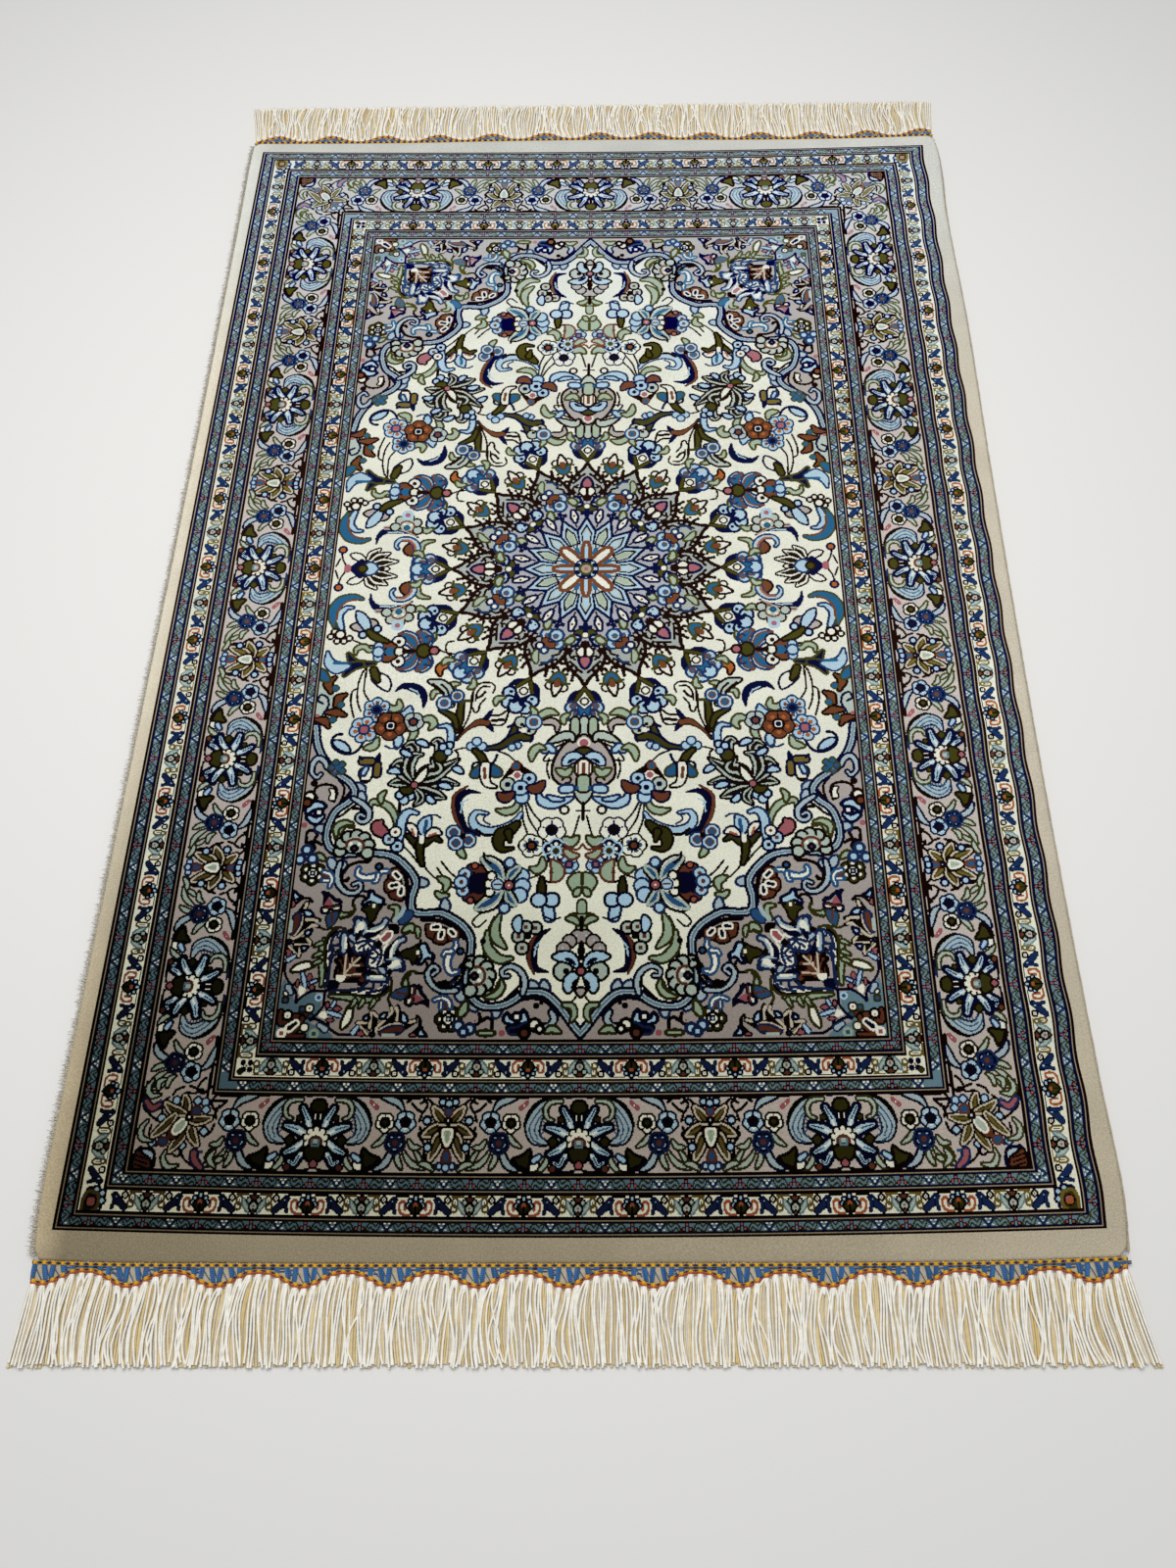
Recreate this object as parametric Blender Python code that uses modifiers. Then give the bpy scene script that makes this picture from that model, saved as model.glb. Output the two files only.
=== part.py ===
"""Persian rug, about 1.0 x 1.5 m, lying flat.

A woven pile slab, an overcast binding along each side, and at each end a scalloped crochet
heading and a fringe of gathered locks. Metres, +Z up; +Y runs along the rug to its far end.
"""

import bisect
import math
import random
from collections import namedtuple

import bmesh
import bpy
import numpy as np

NAME = "persian_rug"
GAP = 0.0003  # between neighbouring pieces

# Pile slab
THICKNESS = 0.008
SHOULDER = 0.0028  # rounding of the pile along the top rim
SHOULDER_STEPS = 3
CORNER_INSET = 0.005  # how far each corner is drawn in
STATION_STEP = 0.040  # between the outline's points

# Overcast side binding
BINDING_WIDTH = 0.003

# Crochet heading, as depths beyond the end of the pile
HEADING_THICKNESS = 0.0022
HEADING_SHALLOW = 0.0065
HEADING_DEEP = 0.0185
SCALLOP_PITCH = 0.0793
SCALLOP_SHIFT = 0.0105  # of the middle scallop, to the left at the near end, to the right at the far end
SCALLOP_POINTEDNESS = 1.3
SCALLOP_POINTS = 8  # for each scallop
HEADING_INSET = 0.0035  # of the heading's two ends, from the side of the rug

# Fringe
FRINGE_REACH = 0.844  # from the middle of the rug to the longest tips
LOCKS = 117  # at each end
BACKING_WIDTH = 0.0018
BACKING_HEIGHT = 0.0026
LOCK_ROOT_WIDTH = 0.0052
LOCK_WIDTH = 0.0076
LOCK_GAP = 0.0009  # least distance between neighbouring locks
LOCK_TAPER = 0.0008  # the top of a lock is narrower by this on each side
TIP_JITTER = 0.0035
LEAN = 0.0016  # sideways drift of the tips, in a slow wave across the rug
LEAN_WAVE = 0.103
OWN_LEAN = 0.0004  # what each lock adds to that by itself
SWAY = 0.0013  # sideways bow of the locks
SWAY_WAVE = 0.076
CORNER_LOCKS = 0.022  # how near a corner the locks begin to fan out

# Half widths over the tips of the outermost locks
TipReach = namedtuple("TipReach", "left right")
TIP_REACH = {-1: TipReach(0.5010, 0.5120), 1: TipReach(0.5120, 0.5070)}

# Half widths over the bindings, by the distance along the rug
SideRow = namedtuple("SideRow", "y left right")
SIDE_ROWS = (
    SideRow(-0.760, 0.4990, 0.5000),
    SideRow(-0.720, 0.5020, 0.5045),
    SideRow(-0.600, 0.5020, 0.5025),
    SideRow(-0.400, 0.5010, 0.4998),
    SideRow(-0.100, 0.4996, 0.5000),
    SideRow(0.150, 0.4990, 0.5025),
    SideRow(0.400, 0.5000, 0.5062),
    SideRow(0.600, 0.5010, 0.5045),
    SideRow(0.720, 0.5022, 0.5080),
    SideRow(0.762, 0.5015, 0.5050),
)

# Half lengths of the pile, by the distance across the rug
EndRow = namedtuple("EndRow", "x near far")
END_ROWS = (
    EndRow(-0.500, 0.7560, 0.7580),
    EndRow(-0.450, 0.7578, 0.7575),
    EndRow(-0.300, 0.7592, 0.7565),
    EndRow(-0.100, 0.7595, 0.7588),
    EndRow(0.050, 0.7595, 0.7590),
    EndRow(0.220, 0.7592, 0.7562),
    EndRow(0.400, 0.7575, 0.7575),
    EndRow(0.500, 0.7545, 0.7610),
)

# A lock's sections, from root to tip: share of its length, share of its full width, height
LockSection = namedtuple("LockSection", "along width height")
LOCK_SECTIONS = (
    LockSection(0.16, 0.94, 0.0028),
    LockSection(0.58, 1.00, 0.0023),
    LockSection(1.00, 0.90, 0.0016),
)


def smooth_column(rows, column, at):
    """Smooth curve through one column of a table, read at a place in its first column."""
    places = np.array([row[0] for row in rows])
    values = np.array([getattr(row, column) for row in rows])
    slopes = np.gradient(values, places)
    i = min(max(bisect.bisect_right(places, at) - 1, 0), len(rows) - 2)
    span = places[i + 1] - places[i]
    t = min(max((at - places[i]) / span, 0.0), 1.0)
    rise = (1 + 2 * t) * (1 - t) ** 2 * values[i] + t * t * (3 - 2 * t) * values[i + 1]
    swing = t * (1 - t) ** 2 * slopes[i] - t * t * (1 - t) * slopes[i + 1]
    return float(rise + swing * span)


def side_x(side, y):
    """Distance from the rug's middle line to the outside of the binding on one side."""
    return smooth_column(SIDE_ROWS, "left" if side < 0 else "right", y)


def corner_x(side, end):
    """The same distance, at one end of the rug."""
    return side_x(side, SIDE_ROWS[0 if end < 0 else -1].y)


def end_y(end, x):
    """Distance from the rug's middle to the end of the pile."""
    return smooth_column(END_ROWS, "near" if end < 0 else "far", x)


def heading_y(end, x):
    """Distance from the rug's middle to the scalloped edge of the heading."""
    phase = math.tau * (x - end * SCALLOP_SHIFT) / SCALLOP_PITCH
    swell = (0.5 + 0.5 * math.cos(phase)) ** SCALLOP_POINTEDNESS
    return end_y(end, x) + HEADING_SHALLOW + (HEADING_DEEP - HEADING_SHALLOW) * swell


def clear_scene():
    for obj in list(bpy.data.objects):
        bpy.data.objects.remove(obj, do_unlink=True)


def new_collection(name):
    collection = bpy.data.collections.new(name)
    bpy.context.scene.collection.children.link(collection)
    return collection


def cloth_material(name, colour, roughness):
    material = bpy.data.materials.new(name)
    material.use_nodes = True
    shader = material.node_tree.nodes["Principled BSDF"]
    shader.inputs["Base Color"].default_value = (*colour, 1.0)
    shader.inputs["Roughness"].default_value = roughness
    shader.inputs["Metallic"].default_value = 0.0
    return material


def add_mesh_object(name, mesh, collection, material):
    obj = bpy.data.objects.new(name, mesh)
    mesh.materials.clear()
    mesh.materials.append(material)
    collection.objects.link(obj)
    return obj


def mesh_from_curve(name, curve):
    """Closed mesh of a curve, with its loose caps welded; the curve is used up."""
    holder = bpy.data.objects.new(name + "_curve", curve)
    bpy.context.scene.collection.objects.link(holder)
    graph = bpy.context.evaluated_depsgraph_get()
    mesh = bpy.data.meshes.new_from_object(holder.evaluated_get(graph))
    mesh.name = name
    bpy.data.objects.remove(holder, do_unlink=True)
    bm = bmesh.new()
    bm.from_mesh(mesh)
    bmesh.ops.remove_doubles(bm, verts=bm.verts, dist=0.00001)
    bm.to_mesh(mesh)
    bm.free()
    return mesh


def plate_mesh(name, outline, thickness):
    """Flat plate with the given outline, standing on z = 0."""
    curve = bpy.data.curves.new(name, "CURVE")
    curve.dimensions = "2D"
    curve.fill_mode = "BOTH"
    curve.extrude = thickness / 2
    spline = curve.splines.new("POLY")
    spline.points.add(len(outline) - 1)
    for point, (x, y) in zip(spline.points, outline):
        point.co = (x, y, 0.0, 1.0)
    spline.use_cyclic_u = True
    mesh = mesh_from_curve(name, curve)
    for vertex in mesh.vertices:
        vertex.co.z += thickness / 2
    return mesh


def tube_mesh(name, points, radius):
    curve = bpy.data.curves.new(name, "CURVE")
    curve.dimensions = "3D"
    curve.bevel_depth = radius
    curve.bevel_resolution = 2
    curve.use_fill_caps = True
    spline = curve.splines.new("POLY")
    spline.points.add(len(points) - 1)
    for point, co in zip(spline.points, points):
        point.co = (*co, 1.0)
    return mesh_from_curve(name, curve)


def side_stations():
    """Places along the rug, shared by the pile's sides and the bindings."""
    reach = min(end_y(end, side * corner_x(side, end)) for end in (-1, 1) for side in (-1, 1))
    count = round(2 * (reach - CORNER_INSET) / STATION_STEP)
    return np.linspace(CORNER_INSET - reach, reach - CORNER_INSET, count + 1)


def pile_outline():
    """The pile's outline: near end, right side, far end, left side."""
    points = []
    inset = BINDING_WIDTH + GAP
    for end, side in ((-1, 1), (1, -1)):
        start = -side * (corner_x(-side, end) - inset - CORNER_INSET)
        stop = side * (corner_x(side, end) - inset - CORNER_INSET)
        across = np.linspace(start, stop, round(abs(stop - start) / STATION_STEP) + 1)
        points += [(x, end * end_y(end, x)) for x in across]
        along = side_stations() * -end
        points += [(side * (side_x(side, y) - inset), y) for y in along]
    return points


def mark_top_rim(mesh, height):
    """Makes the top and the bottom one face each, and gives the top's edges a bevel weight."""
    bm = bmesh.new()
    bm.from_mesh(mesh)
    across = [e for e in bm.edges if all(abs(f.normal.z) > 0.5 for f in e.link_faces)]
    bmesh.ops.dissolve_edges(bm, edges=across, use_verts=False)
    weight = bm.edges.layers.float.new("bevel_weight_edge")
    for edge in bm.edges:
        edge[weight] = float(all(v.co.z > height / 2 for v in edge.verts))
    bm.to_mesh(mesh)
    bm.free()


def build_pile(collection, material):
    mesh = plate_mesh("rug", pile_outline(), THICKNESS)
    mark_top_rim(mesh, THICKNESS)
    obj = add_mesh_object("rug", mesh, collection, material)
    bevel = obj.modifiers.new("Pile shoulder", "BEVEL")
    bevel.limit_method = "WEIGHT"
    bevel.width = SHOULDER
    bevel.segments = SHOULDER_STEPS
    bevel.use_clamp_overlap = False
    return obj


def build_binding(name, side, collection, material):
    radius = BINDING_WIDTH / 2
    points = [(side * (side_x(side, y) - radius), y, radius) for y in side_stations()]
    return add_mesh_object(name, tube_mesh(name, points, radius), collection, material)


def heading_stations(end):
    left = HEADING_INSET - corner_x(-1, end)
    right = corner_x(1, end) - HEADING_INSET
    count = round((right - left) / SCALLOP_PITCH * SCALLOP_POINTS)
    return np.linspace(left, right, count + 1)


def build_heading(name, end, collection, material):
    across = heading_stations(end)
    inner = [(x, end * (end_y(end, x) + GAP)) for x in across]
    outer = [(x, end * heading_y(end, x)) for x in across]
    mesh = plate_mesh(name, inner + outer[::-1], HEADING_THICKNESS)
    return add_mesh_object(name, mesh, collection, material)


def lock_roots(end):
    across = heading_stations(end)
    margin = LOCK_ROOT_WIDTH / 2 + GAP
    return np.linspace(across[0] + margin, across[-1] - margin, LOCKS)


def lock_leans(end, roots, draw):
    """Sideways drift of each lock's tip: a slow wave, and a fan at the corners."""
    leans = [LEAN * math.sin(math.tau * x / LEAN_WAVE + end) for x in roots]
    leans = [lean + draw.uniform(-OWN_LEAN, OWN_LEAN) for lean in leans]
    half = LOCK_WIDTH / 2 * LOCK_SECTIONS[-1].width
    fan_left = TIP_REACH[end].left - half + roots[0] + leans[0]
    fan_right = TIP_REACH[end].right - half - roots[-1] - leans[-1]
    for i, x in enumerate(roots):
        leans[i] -= fan_left * math.exp(-(x - roots[0]) / CORNER_LOCKS)
        leans[i] += fan_right * math.exp(-(roots[-1] - x) / CORNER_LOCKS)
    return leans


def lock_paths(end, draw):
    """For each lock, the middle points of its sections, root first."""
    roots = lock_roots(end)
    paths = []
    for i, lean in enumerate(lock_leans(end, roots, draw)):
        x = roots[i]
        start = heading_y(end, x) + GAP + BACKING_WIDTH
        jitter = 0.0 if i == LOCKS // 2 else draw.uniform(0.0, TIP_JITTER)
        length = FRINGE_REACH - jitter - start
        sway = SWAY * math.sin(math.tau * x / SWAY_WAVE + 2.0 * end)
        path = [(x, start)]
        for section in LOCK_SECTIONS:
            drift = lean * section.along + sway * math.sin(math.pi * section.along)
            path.append((x + drift, start + length * section.along))
        paths.append(path)
    return paths


def backing_station(bm, end, x):
    """Corners of the backing at x: inner low, inner high, outer high, outer low."""
    inner = heading_y(end, x) + 1.3 * GAP
    outer = inner + BACKING_WIDTH
    corners = ((inner, 0.0), (inner, BACKING_HEIGHT), (outer, BACKING_HEIGHT), (outer, 0.0))
    return [bm.verts.new((x, end * y, z)) for y, z in corners]


def join_rings(bm, ring, other, skip=None):
    for i in range(4):
        if i != skip:
            bm.faces.new((ring[i], ring[(i + 1) % 4], other[(i + 1) % 4], other[i]))


def add_lock(bm, end, ring, paths, i):
    """Loft one lock from its root on the backing to its tip."""
    for step, section in enumerate(LOCK_SECTIONS, start=1):
        x, y = paths[i][step]
        left = right = LOCK_WIDTH / 2
        if i > 0:
            left = min(left, (x - paths[i - 1][step][0] - LOCK_GAP) / 2)
        if i < LOCKS - 1:
            right = min(right, (paths[i + 1][step][0] - x - LOCK_GAP) / 2)
        left *= section.width
        right *= section.width
        corners = (
            (x - left, 0.0),
            (x - left + LOCK_TAPER, section.height),
            (x + right - LOCK_TAPER, section.height),
            (x + right, 0.0),
        )
        other = [bm.verts.new((cx, end * y, cz)) for cx, cz in corners]
        join_rings(bm, ring, other)
        ring = other
    bm.faces.new(ring)


def build_fringe(name, end, collection, material):
    draw = random.Random(7 + end)
    paths = lock_paths(end, draw)
    bm = bmesh.new()
    before = None
    for i, x in enumerate(lock_roots(end)):
        left = backing_station(bm, end, x - LOCK_ROOT_WIDTH / 2)
        right = backing_station(bm, end, x + LOCK_ROOT_WIDTH / 2)
        if before:
            join_rings(bm, before, left)
        else:
            bm.faces.new(left)
        join_rings(bm, left, right, skip=2)
        add_lock(bm, end, (left[3], left[2], right[2], right[3]), paths, i)
        before = right
    bm.faces.new(before)
    bmesh.ops.recalc_face_normals(bm, faces=bm.faces)
    mesh = bpy.data.meshes.new(name)
    bm.to_mesh(mesh)
    bm.free()
    return add_mesh_object(name, mesh, collection, material)


def main():
    clear_scene()
    collection = new_collection(NAME)
    pile = cloth_material("woven pile", (0.30, 0.32, 0.33), 0.85)
    overcast = cloth_material("overcast yarn", (0.72, 0.66, 0.52), 0.85)
    crochet = cloth_material("crochet yarn", (0.20, 0.30, 0.52), 0.80)
    ivory = cloth_material("ivory cord", (0.82, 0.76, 0.62), 0.80)
    build_pile(collection, pile)
    for side, word in ((-1, "left"), (1, "right")):
        build_binding("edge_binding_" + word, side, collection, overcast)
    for end, word in ((-1, "near"), (1, "far")):
        build_heading("heading_" + word, end, collection, crochet)
        build_fringe("fringe_" + word, end, collection, ivory)


main()
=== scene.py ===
"""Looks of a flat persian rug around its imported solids: pile, overcast sides, headings and fringe."""

import math

import bpy
import numpy as np
from mathutils import Matrix, Vector


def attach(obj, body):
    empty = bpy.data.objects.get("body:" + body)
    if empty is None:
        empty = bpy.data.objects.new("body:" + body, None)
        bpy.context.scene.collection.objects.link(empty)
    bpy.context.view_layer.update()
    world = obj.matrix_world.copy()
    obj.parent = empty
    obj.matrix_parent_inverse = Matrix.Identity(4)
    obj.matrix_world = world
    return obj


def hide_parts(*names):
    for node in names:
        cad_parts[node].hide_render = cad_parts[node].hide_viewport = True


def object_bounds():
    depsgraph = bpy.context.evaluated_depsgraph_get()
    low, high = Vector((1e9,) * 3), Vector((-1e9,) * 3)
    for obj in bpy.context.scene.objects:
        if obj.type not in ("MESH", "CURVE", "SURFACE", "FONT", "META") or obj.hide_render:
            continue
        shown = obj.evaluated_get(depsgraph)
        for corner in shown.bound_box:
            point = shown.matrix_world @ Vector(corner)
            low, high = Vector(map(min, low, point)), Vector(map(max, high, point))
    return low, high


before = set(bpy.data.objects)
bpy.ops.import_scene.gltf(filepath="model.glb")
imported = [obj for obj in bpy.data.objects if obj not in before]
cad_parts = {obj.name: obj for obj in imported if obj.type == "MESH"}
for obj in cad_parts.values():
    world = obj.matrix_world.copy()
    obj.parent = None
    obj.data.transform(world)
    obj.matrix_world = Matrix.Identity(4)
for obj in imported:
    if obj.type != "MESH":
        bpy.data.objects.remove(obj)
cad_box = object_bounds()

# ---------------------------------------------------------------- the knotted pattern
QUARTER = (500, 760)  # knots from the rug's middle to its side and to its end, one to each millimetre
DYES = {
    "ivory": "dddecf", "margin": "c4bcaa", "beige": "a2957f", "taupe": "bfb7b1", "lilac": "aba49f",
    "brown": "1d0c07", "navy": "090f38", "slate": "748e98", "sky": "a9c4d2", "steel": "1c3660",
    "teal": "275f86", "sage": "a0b09b", "mint": "afbbb1", "olive": "454319", "moss": "20170b",
    "rust": "70432b", "tan": "a55f2f", "rose": "a0626a", "chalk": "dfdfd2", "khaki": "77682e",
    "mist": "a9b9be", "pearl": "a7a7ae", "ash": "a3a9a4",
}
(IVORY, MARGIN, BEIGE, TAUPE, LILAC, BROWN, NAVY, SLATE, SKY, STEEL, TEAL, SAGE, MINT, OLIVE, MOSS, RUST,
    TAN, ROSE, CHALK, KHAKI, MIST, PEARL, ASH) = range(len(DYES))
# Half the pattern's sides, and how deep the rings' outer edges lie: guard, ivory, guard, main and back
HALF = (482.5, 735.2)
SIDE_RINGS = (0.0, 21.0, 41.0, 62.5, 128.5, 149.0, 165.5, 182.5)
END_RINGS = (0.0, 17.9, 36.2, 56.2, 124.7, 142.7, 160.7, 180.2)
RINGS, MAIN = 7, 3  # how many, and the number of the main one
GUARD_STRIPES = ((0.00, BROWN), (0.13, BEIGE), (0.18, NAVY), (0.31, SLATE), (0.69, NAVY), (0.82, BEIGE),
    (0.87, BROWN))
END_UNIT, SIDE_UNIT = 50.0, 50.8  # the borders' repeats
HALF_REPEAT = 2.49  # repeats from a palmette to the next lily
LINE = 2.2  # a drawn outline, in mm
THICK = 3.0  # a line from here on is knotted as wide as it is given
BOLD = {"field": 1.3, "band": 1.1, "main": 1.45, "spandrel": 1.75}  # how much thinner ones are thickened


def smooth(points, closed=False, step=0.7):
    """A curve through the points, in short steps."""
    p = np.array(points, float)
    if len(p) == 1:
        return p
    ends = (p[-1:], p[:2]) if closed else (2 * p[:1] - p[1:2], 2 * p[-1:] - p[-2:-1])
    if closed:
        p = np.concatenate((p, p[:1]))
        ends = (ends[0], ends[1][1:])
    q = np.concatenate((ends[0], p, ends[1]))
    out = []
    for a, b, c, d in zip(q, q[1:], q[2:], q[3:]):
        t = np.linspace(0, 1, max(2, int(np.hypot(*(c - b)) / step)), endpoint=False)[:, None]
        out.append(b + t * ((c - a) + t * ((2 * a - 5 * b + 4 * c - d) + t * (3 * b - a - 3 * c + d))) / 2)
    out.append(p[-1:])
    return np.concatenate(out)


class Pen:
    """Draws on the chart in a motif's own millimetres.

    A motif points along its +y. Its turn is the angle from the rug's length towards its side.
    """

    def __init__(self, chart, u=0.0, v=0.0, turn=0.0, flip=1):
        a = math.radians(turn)
        self.chart = chart
        self.bold = BOLD["field"]
        self.axes = np.array(((flip * math.cos(a), -flip * math.sin(a)), (math.sin(a), math.cos(a))))
        self.origin = np.array((u, v), float)

    def at(self, u, v, turn=0.0, flip=1):
        """A pen for a smaller motif inside this one's."""
        pen = Pen(self.chart, 0, 0, turn, flip)
        pen.axes = pen.axes @ self.axes
        pen.bold = self.bold
        pen.origin = np.array((u, v)) @ self.axes + self.origin
        return pen

    def sides(self):
        """The pens for a motif's two mirrored sides."""
        return self.at(0, 0, flip=-1), self.at(0, 0, flip=1)

    def window(self, path, reach):
        """The cells that a path may reach, with their middles."""
        low = np.clip(np.floor((path - reach).min(0)).astype(int), 0, QUARTER)
        high = np.clip(np.ceil((path + reach).max(0)).astype(int), 0, QUARTER)
        u = np.arange(low[0], high[0]) + 0.5
        v = np.arange(low[1], high[1]) + 0.5
        return self.chart[low[1] : high[1], low[0] : high[0]], u[None, :, None], v[:, None, None]

    def sweep(self, path, half, colour):
        """Fills the cells within half of the path, which may have a value for each of its points."""
        cells, u, v = self.window(path, half.max())
        if cells.size:
            gap = np.hypot(u - path[:, 0], v - path[:, 1]) - half
            cells[(gap <= 0).any(2)] = colour

    def brush(self, spine, widths, colour, line=None, edge=LINE):
        """A stroke along the spine whose width runs through the widths, with an outline round it."""
        path = smooth(spine) @ self.axes + self.origin
        half = np.interp(np.linspace(0, 1, len(path)), np.linspace(0, 1, len(widths)), widths) / 2
        if line is not None:
            self.sweep(path, half + self.bold * edge, line)
        if colour is not None:
            self.sweep(path, half, colour)

    def line(self, spine, colour, width):
        """A line of one width. Thin ones are knotted as heavily as the outlines."""
        self.brush(spine, ((self.bold if width < THICK else 1) * width,) * 2, colour)

    def dot(self, u, v, width, colour, line=None, edge=LINE):
        self.brush(((u, v),), (width,), colour, line, edge)

    def area(self, rim, colour, line=None, edge=LINE, smoothed=True):
        """A closed patch of colour, with an outline on its rim."""
        path = (smooth(rim, closed=True) if smoothed else np.array(rim, float)) @ self.axes + self.origin
        cells, u, v = self.window(path, edge)
        if not cells.size:
            return
        if colour is not None:
            a, b = path, np.roll(path, -1, 0)
            rise = np.where(a[:, 1] == b[:, 1], 1e-9, b[:, 1] - a[:, 1])
            crossed = ((a[:, 1] > v) != (b[:, 1] > v)) & (u < a[:,
                0] + (v - a[:, 1]) / rise * (b[:, 0] - a[:, 0]))
            cells[crossed.sum(2) % 2 == 1] = colour
        if line is not None:
            self.sweep(path, np.full(len(path), self.bold * edge / 2 + 0.1), line)

    def square(self, u, v, half, colour):
        corners = ((u - half, v - half), (u + half, v - half), (u + half, v + half), (u - half, v + half))
        self.area(corners, colour, smoothed=False)

    def lozenge(self, u, v, width, height, colour, line, edge):
        tips = ((u - width / 2, v), (u, v - height / 2), (u + width / 2, v), (u, v + height / 2))
        self.area(tips, colour, line, edge)


def rosette(pen, width, petals, fill, line, core, spot=None, start=0.0, tip=None):
    """An open flower: round petals in a ring about a core, each with a spot in it."""
    petal = width * (0.50 if petals < 6 else 0.38)
    ring = (width - petal) / 2
    for paint, grown in ((line, 2 * LINE), (fill, 0)):
        for k in range(petals):
            a = math.radians(start + 360 * k / petals)
            pen.dot(ring * math.sin(a), ring * math.cos(a), petal + grown, paint)
    for k in range(petals):
        a = math.radians(start + 360 * k / petals)
        if petals > 4:
            b = a + math.pi / petals
            pen.line(((0, 0), (0.72 * width / 2 * math.sin(b), 0.72 * width / 2 * math.cos(b))), line, 1.2)
        if spot is not None:
            pen.dot(ring * math.sin(a), ring * math.cos(a), petal * 0.42, spot)
        if tip is not None:
            pen.dot(1.2 * ring * math.sin(a), 1.2 * ring * math.cos(a), petal * 0.3, tip)
    pen.dot(0, 0, width * 0.28, core, line)


def leaf(pen, spine, width, fill, line, edge=LINE):
    """A pointed leaf: widest in its middle."""
    pen.brush(spine, [width * w for w in (0.15, 0.75, 1.0, 0.85, 0.12)], fill, line, edge)


# ---------------------------------------------------------------- borders
def guard_motifs(pen, unit, count):
    """Along a guard stripe: trefoils, side leaves and small zigzags. +x runs along, +y outward."""
    for k in range(count):
        p = pen.at(k * unit, 0)
        for x, y in ((0, -2.3), (-3, 1.6), (3, 1.6)):
            p.dot(x, y, 2.6, ROSE, BROWN, 1.0)
        for side in (-1, 1):
            q = p.at(side * unit / 4, 0, flip=side)
            q.brush(((-5.4, 2.2), (-2.4, -1.6), (2.4, 1.6), (5.4, -2.2)), (1, 2.2, 2.2, 1), SLATE, OLIVE,
                1.3)
        z = p.at(unit / 2, 0)
        z.line(((-4.6, -2.6), (-2, 0.6), (0, 3), (2, 0.6), (4.6, -2.6)), STEEL, 2.2)
        for x, y in ((-2, -2.6), (2, -2.6), (0, 0), (-4, 2.4), (4, 2.4)):
            z.dot(x, y, 1.6, CHALK)


def bracket(p):
    """The navy leaf and the small flower beside each larger flower of an ivory border."""
    p.brush(((19.6, -5), (24.6, 0.4), (30.4, 5.6)), (4.4, 5.6, 4.4), STEEL, NAVY, 1)
    p.brush(((19.4, -4.4), (20, 0.8), (18.6, 6)), (2.4, 2.6, 2.2), STEEL, NAVY, 0.8)
    p.dot(21.6, -3.6, 1.6, SKY)
    p.dot(29.6, -5.2, 3.4, CHALK, BROWN, 1.8)
    p.dot(29.6, -5.2, 1.5, RUST)


def minor_rosette(pen):
    """The ivory border's larger flower and its curled side leaves. +x along, +y outward."""
    for p in pen.sides():
        p.line(((6.5, -8), (18, -8)), BROWN, 1.7)
        p.line(((5, 7.6), (11, 7.4), (14.6, 4), (14.4, -2.4), (11.2, -3.6), (9.4, -0.4), (9.6, 3.4)), TAN,
            2.3)
        bracket(p)
    for x, y in ((-5, -4.4), (5, -4.4), (0, -6.8), (-6.6, -0.4), (6.6, -0.4)):
        pen.dot(x, y, 2.6, SKY, NAVY, 1.7)
    pen.area(((-5.6, 0), (0, -4.4), (5.6, 0), (5, 4), (0, 8), (-5, 4)), OLIVE, MOSS, 2)
    pen.dot(0, -0.8, 4, TAN)
    pen.line(((0, 1), (0, 6)), BROWN, 1.6)


def minor_diamond(pen):
    """The ivory border's smaller flower between two olive buds."""
    for p in pen.sides():
        p.line(((5.5, -8), (16, -8)), KHAKI, 1.8)
        p.brush(((13.6, -4.4), (14.2, 2.8)), (2.6, 3), IVORY, KHAKI, 1.9)
        p.line(((13.7, -3), (14, 1.4)), KHAKI, 1.3)
        p.brush(((4, 5.2), (7.6, 1.4), (9.6, -3)), (3.4, 3, 1.4), MINT, SLATE, 1.5)
        p.dot(4.6, -3.2, 3.4, MINT, BROWN, 1.3)
    pen.area(((-4.2, 2), (0, -3), (4.2, 2), (0, 8)), MINT, BROWN, 2)
    pen.area(((-4, -6.6), (0, -8), (4, -6.6), (0, -2.6)), RUST, BROWN, 1.6)
    pen.dot(0, 2, 2.6, ROSE)
    pen.dot(0, 6.6, 2.4, RUST, BROWN, 1.2)


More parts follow.
